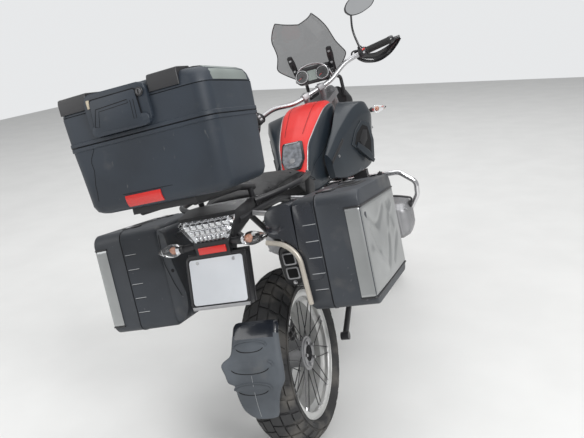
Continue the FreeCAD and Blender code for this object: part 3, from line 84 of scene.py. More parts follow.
CHASSIS = chassis_frame()
STEERING = steering_frame(CHASSIS)
CASE = CHASSIS @ local(0, -548, 1063, pitch=-6)
RIGHT_BOX = CHASSIS @ local(237, -322, 622, pitch=-8.5, yaw=-2)
LEFT_BOX = CHASSIS @ local(-206, -322, 622, pitch=-8.5, yaw=2) @ Matrix.Scale(-1, 4, (1, 0, 0))
PLACES = {
    "chassis": CHASSIS, "steering": STEERING, "front_wheel": STEERING, "rear_wheel": CHASSIS, "fuel_cap": CHASSIS,
    "topcase_lid": CASE, "pannier_right_lid": RIGHT_BOX, "pannier_left_lid": LEFT_BOX,
}
RIGHT, FRONT, UP = Vector((1, 0, 0)), Vector((0, 1, 0)), Vector((0, 0, 1))
LEFT, REAR = Vector((-1, 0, 0)), Vector((0, -1, 0))


def linked(name, data):
    """A new object in the scene."""
    obj = bpy.data.objects.new(name, data)
    bpy.context.scene.collection.objects.link(obj)
    return obj


def angles(count):
    """Equal steps of one turn."""
    return [2 * pi * k / count for k in range(count)]


def spaced(low, high, count):
    """Equal steps from low to high, both included."""
    return [low + (high - low) * k / count for k in range(count + 1)]


def two_sided(half):
    """A profile or outline of (x, other) points from its positive half."""
    return half + [(-x, z) for x, z in reversed(half)]


# Materials
def material(name, colour, rough, metal=0.0, vary=0.12, vary_scale=6.0, grain=0.0, grain_scale=600.0, coat=0.0,
        brushed=None, scuff=0.0, scuff_colour=(0.45, 0.45, 0.44), dust=0.0):
    """A surface with colour variation, fine grain, scuffs and dust, all from noise in object space.

    brushed is a stretch of the grain along X, Y and Z; scuff and dust are shares of the surface.
    """
    mat = bpy.data.materials.new(name)
    mat.use_nodes = True
    tree = mat.node_tree
    shader = tree.nodes["Principled BSDF"]
    for socket, value in (("Roughness", rough), ("Metallic", metal), ("Coat Weight", coat), ("Coat Roughness", 0.08)):
        shader.inputs[socket].default_value = value
    coords = tree.nodes.new("ShaderNodeTexCoord")

    def node(kind, source, output, **values):
        """One output of a new node with some sockets set and the source linked in."""
        made = tree.nodes.new(kind)
        for socket, value in values.items():
            made.inputs[socket.replace("_", " ")].default_value = value
        tree.links.new(source, made.inputs["Value" if output == "Result" else "Vector"])
        return made.outputs[output]

    def noise(scale, detail, stretch=None):
        place = coords.outputs["Object"]
        if stretch:
            place = node("ShaderNodeMapping", place, "Vector", Scale=stretch)
        return node("ShaderNodeTexNoise", place, "Fac", Scale=scale, Detail=detail)

    def mask(source, low, high):
        return node("ShaderNodeMapRange", source, "Result", From_Min=low, From_Max=high)

    def mixed(factor, first, second):
        mix = tree.nodes.new("ShaderNodeMix")
        mix.data_type = "RGBA"
        tree.links.new(factor, mix.inputs[0])
        for socket, value in ((6, first), (7, second)):
            if isinstance(value, tuple):
                mix.inputs[socket].default_value = (*value, 1.0)
            else:
                tree.links.new(value, mix.inputs[socket])
        return mix.outputs[2]

    dark = tuple(c * (1 - vary) for c in colour)
    light = tuple(min(1.0, c * (1 + vary)) for c in colour)
    base = mixed(mask(noise(vary_scale, 4), 0.35, 0.65), dark, light)
    if scuff:
        streaks = mask(noise(90, 5, (1.0, 6.0, 0.35)), 0.70 - 0.08 * scuff, 0.76)
        base = mixed(streaks, base, scuff_colour)
    if dust:
        settled = mask(noise(9, 7), 0.64 - 0.25 * dust, 1.5 - dust)
        base = mixed(settled, base, (0.26, 0.24, 0.21))
    tree.links.new(base, shader.inputs["Base Color"])
    if grain:
        bump = tree.nodes.new("ShaderNodeBump")
        bump.inputs["Strength"].default_value = grain
        bump.inputs["Distance"].default_value = 0.0004
        tree.links.new(noise(grain_scale, 3, brushed), bump.inputs["Height"])
        tree.links.new(bump.outputs["Normal"], shader.inputs["Normal"])
    return mat


def clear_material(name, colour, rough, alpha=None):
    """Clear or smoked plastic."""
    mat = bpy.data.materials.new(name)
    mat.use_nodes = True
    shader = mat.node_tree.nodes["Principled BSDF"]
    shader.inputs["Base Color"].default_value = (*colour, 1.0)
    shader.inputs["Roughness"].default_value = rough
    shader.inputs["IOR"].default_value = 1.5
    if alpha is None:
        shader.inputs["Transmission Weight"].default_value = 1.0
    else:
        shader.inputs["Alpha"].default_value = alpha
    return mat


M = {
    "case": material("case_plastic", (0.022, 0.030, 0.042), 0.50, grain=0.35, grain_scale=900, vary=0.18, scuff=0.12,
        scuff_colour=(0.07, 0.075, 0.08), dust=0.05),
    "pannier": material("pannier_plastic", (0.034, 0.039, 0.047), 0.50, grain=0.35, grain_scale=900, vary=0.15,
        scuff=0.12, scuff_colour=(0.12, 0.12, 0.13), dust=0.08),
    "black": material("black_plastic", (0.018, 0.018, 0.020), 0.45, grain=0.3, grain_scale=700, vary=0.2, dust=0.1),
    "gloss_black": material("gloss_black", (0.012, 0.012, 0.014), 0.22, coat=0.4, vary=0.1),
    "groove": material("groove_shadow", (0.006, 0.006, 0.007), 0.9, vary=0.1),
    # Light grey: a painted highlight on the pannier notches, and a thin light line along the spray guard's seam.
    "notch": material("painted_highlight_and_light_seam", (0.34, 0.35, 0.36), 0.5, vary=0.1),
    "panel": material("brushed_panel", (0.42, 0.43, 0.43), 0.36, metal=0.9, grain=0.25, grain_scale=300,
        brushed=(1.0, 0.03, 12.0), vary=0.08, scuff=0.2, scuff_colour=(0.4, 0.4, 0.38)),
    "aluminium": material("satin_aluminium", (0.46, 0.46, 0.47), 0.34, metal=1.0, grain=0.15, grain_scale=500,
        vary=0.1),
    "polished": material("polished_rim", (0.66, 0.66, 0.65), 0.42, metal=0.7, vary=0.15, dust=0.2),
    "cast": material("cast_aluminium", (0.36, 0.36, 0.37), 0.50, metal=0.8, grain=0.6, grain_scale=350, vary=0.2,
        dust=0.15),
    "engine": material("engine_paint", (0.11, 0.11, 0.115), 0.55, metal=0.3, grain=0.6, grain_scale=300, vary=0.2,
        dust=0.25),
    "steel": material("ground_steel", (0.42, 0.42, 0.43), 0.28, metal=1.0, grain=0.3, grain_scale=200, vary=0.15),
    "chrome": material("chrome_tube", (0.70, 0.70, 0.71), 0.10, metal=1.0, vary=0.06),
    "dark_steel": material("black_frame_paint", (0.020, 0.020, 0.022), 0.38, grain=0.2, grain_scale=500, vary=0.2,
        dust=0.12),
    "red": material("red_lacquer", (0.66, 0.009, 0.006), 0.45, coat=0.12, vary=0.06),
    "charcoal": material("charcoal_panel", (0.015, 0.022, 0.030), 0.34, coat=0.2, grain=0.15, grain_scale=900,
        vary=0.15),
    "cap": material("cap_plate", (0.19, 0.20, 0.22), 0.42, metal=0.4, grain=0.6, grain_scale=160, vary=0.35,
        vary_scale=60),
    "seat": material("seat_cover", (0.016, 0.016, 0.017), 0.55, grain=0.9, grain_scale=260, vary=0.2, dust=0.1),
    "tyre": material("tyre_rubber", (0.030, 0.030, 0.031), 0.72, grain=0.5, grain_scale=400, vary=0.25, dust=0.55),
    "rubber": material("grip_rubber", (0.016, 0.016, 0.016), 0.65, grain=0.4, grain_scale=500, vary=0.15),
    "plate": material("plate_face", (0.60, 0.62, 0.65), 0.35, vary=0.04, dust=0.06),
    "reflector": material("red_reflector", (0.62, 0.020, 0.016), 0.18, coat=0.6, grain=0.6, grain_scale=260,
        vary=0.12),
    "weathered": material("weathered_guard", (0.088, 0.100, 0.115), 0.62, grain=0.5, grain_scale=300, vary=0.25,
        dust=0.2),
    "amber": material("amber_bulb", (0.62, 0.30, 0.20), 0.25, coat=0.4, vary=0.05),
    "lamp_bowl": material("lamp_bowl", (0.75, 0.75, 0.76), 0.12, metal=1.0, vary=0.1),
    "mirror_face": material("mirror_face", (0.85, 0.86, 0.87), 0.03, metal=1.0, vary=0.02),
    "beige": material("beige_latch", (0.55, 0.48, 0.36), 0.5, vary=0.1),
    "brushed_steel": material("brushed_steel", (0.40, 0.40, 0.41), 0.34, metal=1.0, grain=0.35, grain_scale=260,
        brushed=(1.0, 0.05, 8.0), vary=0.15, dust=0.1),
    "display": material("display_glass", (0.20, 0.24, 0.22), 0.2, coat=0.5, vary=0.06),
    "dial": material("dial_face", (0.02, 0.02, 0.022), 0.3, coat=0.4, vary=0.08),
    "inlay": material("satin_inlay", (0.34, 0.38, 0.36), 0.42, metal=0.7, grain=0.3, grain_scale=400, vary=0.12),
    "light_tube": material("light_tube", (0.50, 0.46, 0.40), 0.36, metal=0.35, grain=0.2, vary=0.15),
    "spoke": material("dark_spoke", (0.055, 0.055, 0.058), 0.35, metal=0.7, vary=0.2),
    # Glossy dark blue-black: the spray guard's top band and the right pannier's shoulder, and also a painted
    # reflection on the right pannier's rear face.
    "guard_band": material("glossy_dark_and_painted_reflection", (0.016, 0.019, 0.026), 0.24, coat=0.5, vary=0.15, dust=0.1),
    "clear": clear_material("clear_lens", (0.93, 0.94, 0.95), 0.03),
    "smoke": clear_material("smoked_screen", (0.045, 0.048, 0.050), 0.04, alpha=0.45),
}

NODE_FINISH = {
    "tyre": "rear_tyre front_tyre", "polished": "rear_rim front_rim",
    "steel": "rear_disc front_discs exhaust_pipes silencer",
    "engine": "engine_block swingarm", "cast": "cylinders fork_legs fork_yoke front_calipers foot_pegs",
    "chrome": "engine_guard", "aluminium": "skid_plate pannier_rack handlebar",
    "dark_steel": "main_frame rear_shock front_wishbone luggage_rack side_stand centre_stand",
    "red": "fuel_tank beak", "cap": "fuel_cap", "charcoal": "tank_panels",
    "black": "radiators tail_unit instrument_panel front_fender",
    "seat": "rider_seat passenger_seat", "plate": "licence_plate", "clear": "tail_lamp indicators headlamp",
    "weathered": "spray_guard", "case": "topcase_base topcase_lid", "smoke": "windscreen", "rubber": "hand_controls",
    "pannier": "pannier_right_tray pannier_right_lid pannier_left_tray pannier_left_lid", "gloss_black": "mirrors",
}
for finish, node_names in NODE_FINISH.items():
    for node_name in node_names.split():
        mesh = nodes[node_name].data
        if not mesh.materials:
            mesh.materials.append(None)
        for index in range(len(mesh.materials)):
            mesh.materials[index] = M[finish]


# Mesh helpers; each draws on the current mesh, bm
bm = bmesh.new()


def finish_mesh(name, materials, body="chassis", place=None, sharp=40, replaces=()):
    """Ends the mesh drawn so far in mm: shades it smooth up to an angle, places it and hangs it on its body."""
    global bm
    place = place or PLACES[body]
    bmesh.ops.recalc_face_normals(bm, faces=bm.faces)
    for face in bm.faces:
        face.smooth = True
    limit = radians(sharp)
    for edge in bm.edges:
        if len(edge.link_faces) == 2 and edge.calc_face_angle(0.0) > limit:
            edge.smooth = False
    mesh = bpy.data.meshes.new(name)
    bm.to_mesh(mesh)
    bm.free()
    bm = bmesh.new()
    mesh.transform(place)
    if place.determinant() < 0:
        mesh.flip_normals()
    for finish in materials.split():
        mesh.materials.append(M[finish])
    obj = linked(name, mesh)
    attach(obj, body)
    if replaces:
        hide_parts(*replaces)
    return obj


def add_loft(rings, finish=0, capped=True, closed=False):
    """Joins rings of equal length into a skin; a closed one also joins its last ring to its first."""
    rows = [[bm.verts.new(point) for point in ring] for ring in rings]
    count = len(rows[0])
    for lower, upper in zip(rows, rows[1:] + rows[:1] * closed):
        for i in range(count):
            j = (i + 1) % count
            bm.faces.new((lower[i], lower[j], upper[j], upper[i])).material_index = finish
    if capped:
        for row in (rows[0], rows[-1]):
            bm.faces.new(row).material_index = finish
    return rows


def rounded_outline(width, length, corner, steps=6):
    """A rectangle about the origin with rounded corners, as (u, v) points."""
    return [(cu * (width / 2 - corner) + corner * cos(radians(start + turn)),
        cv * (length / 2 - corner) + corner * sin(radians(start + turn))) for cu, cv,
        start in ((1, 1, 0), (-1, 1, 90), (-1, -1, 180), (1, -1, 270)) for turn in spaced(0, 90, steps)]


def bevel_edges(edges, bevel, segments, finish):
    if bevel:
        bmesh.ops.bevel(bm, geom=list(edges), offset=bevel, segments=segments, profile=0.5, affect="EDGES",
            clamp_overlap=True, material=finish)


def add_block(low, high, bevel=1.5, finish=0, segments=2):
    """A box between two opposite corners with softened edges."""
    verts = bmesh.ops.create_cube(bm, size=1.0)["verts"]
    low, high = Vector(low), Vector(high)
    for vert in verts:
        vert.co = (low + high) / 2 + Vector(a * abs(b) for a, b in zip(vert.co, high - low))
        for face in vert.link_faces:
            face.material_index = finish
    bevel_edges({edge for vert in verts for edge in vert.link_edges}, bevel, segments, finish)


def add_slab(outline, base, across, up, out, thickness, bevel=1.5, finish=0, segments=2):
    """A flat plate: an outline of (u, v) points from a base point, raised along out."""
    base, across, up, out = Vector(base), Vector(across), Vector(up), Vector(out)
    lower = [bm.verts.new(base + across * u + up * v) for u, v in outline]
    upper = [bm.verts.new(base + across * u + up * v + out * thickness) for u, v in outline]
    count = len(outline)
    faces = [bm.faces.new(lower), bm.faces.new(upper)]
    for i in range(count):
        j = (i + 1) % count
        faces.append(bm.faces.new((lower[i], lower[j], upper[j], upper[i])))
    for face in faces:
        face.material_index = finish
    bevel_edges(faces[1].edges, bevel, segments, finish)


def arc_round(here, back, ahead, back_reach, ahead_reach, steps):
    """Points that round a corner between places on its two edges."""
    start, end = here + back.normalized() * back_reach, here + ahead.normalized() * ahead_reach
    return [start * (1 - t) ** 2 + here * 2 * t * (1 - t) + end * t * t for t in spaced(0, 1, steps)]


def rounded_path(points, bend):
    """A path through points whose corners are rounded."""
    points = [Vector(point) for point in points]
    path = [points[0]]
    for before, here, after in zip(points, points[1:], points[2:]):
        back, ahead = before - here, after - here
        reach = min(bend, back.length * 0.49, ahead.length * 0.49)
        path += arc_round(here, back, ahead, reach, reach, 6)
    return path + [points[-1]]


def add_tube(points, radius, bend=20, sides=16, finish=0, flat=1):
    """A tube along a path; radius may be one number or a pair for its two ends."""
    path = rounded_path(points, bend)
    start_radius, end_radius = radius if isinstance(radius, tuple) else (radius, radius)
    total = sum((b - a).length for a, b in zip(path, path[1:]))
    side = None
    rings, run = [], 0.0
    for index, point in enumerate(path):
        ahead = path[min(index + 1, len(path) - 1)] - path[max(index - 1, 0)]
        ahead.normalize()
        if side is None:
            side = ahead.orthogonal().normalized()
        side = (side - ahead * side.dot(ahead)).normalized()
        third = ahead.cross(side)
        if index:
            run += (point - path[index - 1]).length
        r = start_radius + (end_radius - start_radius) * run / total
        rings.append([point + side * r * cos(a) + third * r * flat * sin(a) for a in angles(sides)])
    add_loft(rings, finish)


def add_ring(profile, centre, axis, sides=48, finish=0):
    """Turns a closed profile of (along the axis, radius) points about an axis."""
    axis = Vector(axis).normalized()
    side = axis.orthogonal().normalized()
    third = axis.cross(side)
    rays = [side * cos(a) + third * sin(a) for a in angles(sides)]
    add_loft([[Vector(centre) + axis * u + ray * r for u, r in profile] for ray in rays], finish, False, True)


def add_disc(centre, axis, radius, thickness, finish=0, bevel=1.0, sides=24):
    """A short round boss with a softened rim."""
    profile = [(0, 0.01), (0, radius), (thickness - bevel, radius), (thickness, radius - bevel), (thickness, 0.01)]
    add_ring(profile, centre, axis, sides, finish)


def add_line(points, width, out, lift=0.25, finish=0):
    """A thin inlaid line along points of a surface, used for seams, engraving and cracks."""
    out = Vector(out).normalized()
    points = [Vector(p) for p in points]
    left, right = [], []
    for index, point in enumerate(points):
        ahead = points[min(index + 1, len(points) - 1)] - points[max(index - 1, 0)]
        side = ahead.cross(out).normalized() * width / 2
        left.append(bm.verts.new(point - side + out * lift))
        right.append(bm.verts.new(point + side + out * lift))
    for i in range(len(points) - 1):
        bm.faces.new((left[i], left[i + 1], right[i + 1], right[i])).material_index = finish


def softened(points, radius, steps=4, share=0.45):
    """A closed outline with rounded corners, in two or three measures; share limits a corner by its edges."""
    points = [Vector(p) for p in points]
    result = []
    for index, here in enumerate(points):
        back = points[index - 1] - here
        ahead = points[(index + 1) % len(points)] - here
        reaches = [min(radius, edge.length * share) for edge in (back, ahead)]
        result += arc_round(here, back, ahead, *reaches, steps)
    return result


def blend_rows(rows, steps):
    """Rows of numbers with eased rows added between them."""
    result = []
    for index in range(len(rows) - 1):
        before, here, after = rows[max(index - 1, 0)], rows[index], rows[index + 1]
        beyond = rows[min(index + 2, len(rows) - 1)]
        for step in range(steps):
            t = step / steps
            result.append(tuple(0.5 * (2 * b + (c - a) * t + (2 * a - 5 * b + 4 * c - d) * t**2
                + (3 * b - a - 3 * c + d) * t**3) for a, b, c, d in zip(before, here, after, beyond)))
    result.append(tuple(rows[-1]))
    return result


def add_sheet(grid, finish=0):
    """A skin through a grid of points."""
    rows = [[bm.verts.new(point) for point in line] for line in grid]
    for lower, upper in zip(rows, rows[1:]):
        for i in range(len(lower) - 1):
            bm.faces.new((lower[i], lower[i + 1], upper[i + 1], upper[i])).material_index = finish
    return rows


def add_shell(grid, offset):
    """A closed plate: a grid of points, and the same grid moved by an offset."""
    front = add_sheet(grid)
    rear = add_sheet([[Vector(point) + Vector(offset) for point in line] for line in grid])
    rim, back = ([*skin[0], *(line[-1] for line in skin[1:]), *skin[-1][-2::-1], *(line[0] for line in skin[-2:0:-1])]
        for skin in (front, rear))
    for i in range(len(rim)):
        j = (i + 1) % len(rim)
        bm.faces.new((rim[i], rim[j], back[j], back[i]))


def add_bolt(centre, axis, radius, height, finish):
    """A bolt head with a small washer."""
    axis = Vector(axis).normalized()
    add_disc(centre, axis, radius * 1.35, height * 0.3, finish, 0.3, 16)
    add_disc(Vector(centre) + axis * height * 0.3, axis, radius, height * 0.7, finish, 0.5, 6)


def polar(centre, radius, angle):
    """A point of a circle round an axle, its angle measured from forward towards up."""
    return Vector((centre[0], centre[1] + radius * cos(angle), centre[2] + radius * sin(angle)))


# Top case, in its own frame: X right, Y forward from its rear wall, Z up from its floor
CASE_WIDTH, CASE_LENGTH, CASE_LEDGE = 432, 303, 263


def case_ring(height, narrower, shorter, corner):
    outline = rounded_outline(CASE_WIDTH - narrower, CASE_LENGTH - shorter, corner, 8)
    return [(u, v + CASE_LENGTH / 2, height) for u, v in outline]


base_rows = (
    # height, narrower, shorter, corner
    (0, 76, 78, 24), (3, 52, 56, 30), (10, 30, 34, 34), (26, 18, 20, 36), (120, 8, 9, 38), (172, 2, 2, 38),
    (174, -3, -3, 39), (182, -3, -3, 39), (183, -1, -1, 38),
)
add_loft([case_ring(*row) for row in base_rows])
finish_mesh("case_base_shell", "case", "chassis", CASE, replaces=("topcase_base",))

lid_rows = ((185, -1, -1, 38), (186, -4, -4, 39), (194, -4, -4, 39), (196, 0, 0, 38), (CASE_LEDGE - 1.5, -4, -3, 38),
    (CASE_LEDGE - 1.0, 0, 1, 37), (CASE_LEDGE + 0.6, 0, 1, 37), (CASE_LEDGE + 1.2, -3, -2, 38), (284, 4, 4, 40),
    (296, 16, 16, 42), (302, 34, 34, 44), (305, 60, 60, 48), (307, 110, 100, 50), (308, 220, 180, 40))
add_loft([case_ring(*row) for row in lid_rows])
finish_mesh("case_lid_shell", "case", "topcase_lid", replaces=("topcase_lid",))

# Metal inlays along both sides of the lid, from the ledge over the edge
INLAY = ((218.6, CASE_LEDGE + 3), (216.8, 280), (212.6, 290), (206, 298), (196, 304.2), (178, 307.2), (120, 309.0))
INLAY_SPANS = ((44, 2.4), (52, 0.6), (100, 0), (200, 0), (252, 0.6), (262, 2.4))
for s in (-1, 1):
    add_sheet([[(s * (x - ease), y, z - (0.4 if z > 300 else 0)) for x, z in INLAY] for y, ease in INLAY_SPANS])
finish_mesh("case_lid_inlays", "inlay", "topcase_lid")


# Rear of the lid: raised blocks, handle housing, flap and lock
def rear_slab(outline, start, thickness, bevel, finish, segments=3):
    """A plate facing rearwards, given as (X, Z) points; start is how far forward its front face lies."""
    add_slab(outline, (0, start, 0), RIGHT, UP, REAR, thickness, bevel, finish, segments)


for low, high in ((-200, -113), (70, 154)):
    profile = [(-4.5, 270), (-4.5, 300), (-1.5, 308.5), (4, 311), (64, 314),
        (66, 306), (30, 300), (1.5, 290), (1.5, 270)]
    rings = [[(x, y, z) for y, z in profile] for x in (low, low + 1.2, high - 1.2, high)]
    inset = [[(x, y + (1.2 if y < 3 else 0), z - (1.2 if z > 305 else 0)) for y, z in profile] for x in (low, high)]
    add_loft([inset[0], rings[1], rings[2], inset[1]])
finish_mesh("case_lid_blocks", "black", "topcase_lid")

HOUSING = ((-116, 202), (66, 203), (65, 300), (-118, 303))
FLAP = ((-101, 206), (40, 204), (37, 286), (-96, 286))
rear_slab(softened(HOUSING, 20, 5, 0.5), 1, 12, 5, 0, 4)
rear_slab(softened(((-110, 196), (60, 197), (60, 226), (-110, 224)), 14, 5, 0.5), 1, 17, 7, 0, 4)
flap_gap = [(x + (3 if x > 0 else -3), z + (3 if z > 250 else -3)) for x, z in FLAP]
rear_slab(softened(flap_gap, 9, 5, 0.5), -12.6, 0.8, 0, 1)
rear_slab(softened(FLAP, 7, 5, 0.5), -11, 5.5, 2.5, 0, 3)
finish_mesh("case_handle", "case groove", "topcase_lid")

FLAP_FACE = -16.6
for width, engraved in ((2.0, ((-97, 221), (-83, 262), (12, 266), (12, 258))),
        (1.4, ((-97, 221), (-84, 218), (-75, 255), (12, 258))), (1.6, ((29, 263), (27, 218), (19, 218), (20, 263)))):
    add_line([(x, FLAP_FACE, z) for x, z in engraved], width, REAR)
add_loft([case_ring(z, -3.2, -3.2, 39) for z in (184.2, 185.4)], capped=False)
add_loft([case_ring(CASE_LEDGE + d, -0.6, 0.4, 38) for d in (-0.7, 0.5)], capped=False)
finish_mesh("case_lid_lines", "groove", "topcase_lid")

add_disc((49, -13, 277), REAR, 11, 3, 0)
add_disc((49, -15.6, 277), REAR, 7.5, 2.2, 1)
add_block((48, -19.0, 271.5), (50, -17.4, 282.5), 0.3, 2)
finish_mesh("case_lock", "black engine groove", "topcase_lid")
add_block((-107, -15, 268), (-99, -8, 289), 1.5, 0)
finish_mesh("case_latch", "beige", "topcase_lid")


# Rear wall of the base: reflector, engraved frame, cracks
def wall_y(z):
    """Where the rear wall of the base stands at a height."""
    rows = [(z0, l / 2) for z0, _, l, _ in base_rows]
    for (z0, a), (z1, b) in zip(rows, rows[1:]):
        if z0 <= z <= z1:
            return a + (b - a) * (z - z0) / (z1 - z0)
    return rows[-1][1]


def on_wall(x, z, proud=0.0):
    return (x, wall_y(z) - proud, z)


add_shell([[on_wall(x + 0.05 * (z - 8), z, 3.2) for x in spaced(-84, 22, 8)] for z in range(8, 39, 5)], (0, 4, 0))
finish_mesh("case_reflector", "reflector", "chassis", CASE)

add_line([on_wall(-90, 6), on_wall(-89, 43), on_wall(60, 41.5), on_wall(63, 6)], 1.6, REAR)
add_line([on_wall(31, 5), on_wall(30, 40)], 1.4, REAR)
crack = ((-131, 179), (-134, 168), (-148, 150), (-152, 139), (-151, 118), (-157, 96), (-161, 83), (-163, 62),
    (-167, 41), (-163, 20), (-164, 5))
add_line([on_wall(x, z) for x, z in crack], 1.7, REAR, 0.3)
finish_mesh("case_base_lines", "groove", "chassis", CASE)


# Panniers, in the frame of each: X outward from its inner face, Y forward, Z up
BOX_LENGTH, BOX_HEIGHT = 418, 330
TRAY_DEPTH = {"right": 76, "left": 137}
LID_DEPTH = {"right": 130, "left": 104}
BOX_FRAME = {"right": RIGHT_BOX, "left": LEFT_BOX}
SILVER_LOW, SILVER_HIGH = 26, 284


def box_ring(depth, inset, corner):
    outline = rounded_outline(BOX_LENGTH - 2 * inset, BOX_HEIGHT - 2 * inset, corner, 8)
    return [(depth, u + BOX_LENGTH / 2, v + BOX_HEIGHT / 2) for u, v in outline]


CREASES = (((30, 262), (150, 205), 11, 4.5), ((150, 205), (235, 250), 10, 3.5), ((50, 150), (185, 60), 12, -4.0),
    ((185, 60), (250, 170), 10, 4.0), ((250, 170), (345, 235), 11, -4.0), ((60, 215), (120, 130), 10, 3.5),
    ((260, 70), (350, 140), 12, 4.5), ((300, 250), (330, 170), 9, 3.0))


def dent(y, z):
    """Depth of the knocks in the right panel at a place."""
    knocks = ((120, 190, 46, 4.0), (230, 110, 60, -3.5), (300, 230, 50, 3.2), (180, 70, 38, 2.5), (350, 140, 44, -2.8))
    total = 0.0
    for cy, cz, size, depth in knocks:
        total += depth * exp(-((y - cy) ** 2 + ((z - cz) * 0.8) ** 2) / size**2)
    for (ay, az), (by, bz), width, depth in CREASES:
        run = max(0.0, min(1.0, ((y - ay) * (by - ay) + (z - az) * (bz - az)) / ((by - ay) ** 2 + (bz - az) ** 2)))
        away = hypot(y - ay - run * (by - ay), z - az - run * (bz - az))
        total += depth * exp(-((away / width) ** 2))
    return total


def pannier(side):
    """Tray, lid and trim of one pannier."""
    place, tray, depth = BOX_FRAME[side], TRAY_DEPTH[side], TRAY_DEPTH[side] + LID_DEPTH[side]
    rows = [(0, 16, 26), (6, 6, 30), (16, 1, 30), (tray - 6, 0, 30), (tray - 4, -1.5, 31), (tray - 2, -1.5, 31)]
    add_loft([box_ring(*row) for row in rows])
    finish_mesh(f"{side}_tray_shell", "pannier", "chassis", place, replaces=(f"pannier_{side}_tray",))
    rows = [(tray + 2, -1.5, 31), (tray + 3.6, -1.5, 31), (tray + 5.4, 0, 30), (depth - 34, 0, 32), (depth - 6, 0, 32),
        (depth - 2, 2, 33), (depth - 0.5, 6, 34), (depth - 0.5, 50, 30), (depth - 13, 54, 30)]
    add_loft([box_ring(*row) for row in rows])
    finish_mesh(f"{side}_lid_shell", "pannier", f"pannier_{side}_lid", replaces=(f"pannier_{side}_lid",))
    outer_skin(side, depth)
    trim(side, place, tray, depth)


def outer_skin(side, depth):
    """The metal panel that wraps the lid from its rear edge to its front edge."""
    turn = 11
    corner = [(turn * sin(radians(a)), turn * cos(radians(a))) for a in spaced(0, 90, 8)]
    path = [(depth - 44, -1.8), (depth - 30, -1.8), (depth - turn, -1.8)]
    path += [(depth - turn + u, -1.8 + turn - v) for u, v in corner[1:]]
    path += [(depth + 1.6 * sin(pi * k / 56), turn + (BOX_LENGTH - 2 * turn) * k / 56) for k in range(1, 56)]
    path += [(depth - turn + v, BOX_LENGTH + 1.8 - turn + u) for u, v in corner] + [(depth - 44, BOX_LENGTH + 1.8)]
    grid = []
    for z in spaced(SILVER_LOW, SILVER_HIGH, 44):
        edge = min(z - SILVER_LOW, SILVER_HIGH - z)
        lip = 7.0 if edge < 1 else 0.0
        row = []
        for x, y in path:
            if y < 4:
                row.append((x, y + lip * 0.5, z))
            elif y > BOX_LENGTH - 4:
                row.append((x, y - lip * 0.5, z))
            else:
                flat = min(1.0, max(0.0, (y - turn) / 30)) if x > depth - 2 else 0.0
                push = dent(y, z) * flat * min(1.0, max(0.0, (edge - 16) / 14)) if side == "right" else 0.0
                row.append((x + 0.9 - lip - push, y, z))
        grid.append(row)
    add_sheet(grid)
    finish_mesh(f"{side}_metal_skin", "panel", f"pannier_{side}_lid", sharp=60)


def trim(side, place, tray, depth):
    """Notches, seams, carrying recess and latches of one pannier."""
    lid = f"pannier_{side}_lid"
    # Each notch is a raised light rib, a painted highlight, over a dark strip, a painted shadow.
    for z in (254, 206, 158, 112, 65):
        add_block((tray - 45, -0.9, z - 1.1), (tray - 4, 1, z + 1.1), 0.6, 0)
        add_block((tray - 45, -0.4, z - 3.0), (tray - 4, 1, z - 1.2), 0.2, 1)
    if side == "right":
        # A thin dark bluish sheet on the tray's rear face beside the seam: a painted reflection.
        painted_reflection_patch = softened([(3, 98), (58, 92), (tray - 7, 110), (tray - 7, 318), (10, 318)], 16, 5)
        rear_slab(painted_reflection_patch, 0, 0.5, 0.3, 2, 2)
        shoulder = ((3, 324), (-58, 322), (-84, 300), (-86, 236), (-34, 222), (-6, 190), (3, 150))
        rear_slab(softened(shoulder, 18, 5), 118, 116, 12, 2, 4)
    else:
        scoop = ((4, 322), (-20, 306), (-24, 268), (-26, 210), (-40, 150), (-52, 100), (-44, 52), (-24, 20), (6, 12))
        rear_slab(softened(scoop, 26, 5), 210, 206, 10, 3, 4)
        add_disc((-22, 4.4, 182), REAR, 6, 0.6, 1, 0.2, 20)
        add_line([(-2, 3.6, 300), (2, 3.6, 240), (0, 3.6, 205), (-18, 3.6, 140), (-34, 3.6, 100)], 2, REAR, 0.6, 1)
    add_loft([box_ring(tray + d, -1.3, 31) for d in (-0.6, 0.9)], 1, capped=False)
    finish_mesh(f"{side}_tray_trim", "notch groove guard_band pannier", "chassis", place)
    add_block((tray + 14, 150, BOX_HEIGHT - 4), (depth - 40, 270, BOX_HEIGHT + 2.6), 2.5, 0, 3)
    add_block((tray + 22, 166, BOX_HEIGHT - 2), (depth - 52, 254, BOX_HEIGHT + 3.4), 1.0, 1)
    for y in (96, 318):
        add_block((tray - 16, y - 21, BOX_HEIGHT - 3), (tray + 34, y + 21, BOX_HEIGHT + 4.5), 2.0, 0, 3)
        add_block((tray + 4, y - 13, BOX_HEIGHT + 3), (tray + 26, y + 13, BOX_HEIGHT + 6), 1.2, 2)
    finish_mesh(f"{side}_lid_latches", "black groove aluminium", lid)
    for z in (SILVER_LOW, SILVER_HIGH):
        add_tube([(depth - 46, -1, z), (depth + 1, -1, z), (depth + 1, BOX_LENGTH + 1, z),
            (depth - 46, BOX_LENGTH + 1, z)], 2.6, 12, 8, 0)
    for y in (70, 148, 226, 304, 370):
        add_block((depth - 22, y - 9, BOX_HEIGHT - 12), (depth - 3, y + 9, BOX_HEIGHT - 6), 2, 0)
    finish_mesh(f"{side}_panel_edges", "black", lid)


for side_name in ("right", "left"):
    pannier(side_name)


# Wheels
REAR_AXLE, FRONT_AXLE = Vector((0, 0, AXLE_HEIGHT)), Vector((0, 1507, 325))
WHEELS = {
    # centre, tyre radius, width, drop, rim radius, rim width, hub radius, hub half length
    "rear": (REAR_AXLE, 318, 170, 56, 229, 126, 62, 55),
    "front": (FRONT_AXLE, 325, 120, 45, 254, 92, 40, 58),
}
GROOVE = 6.0


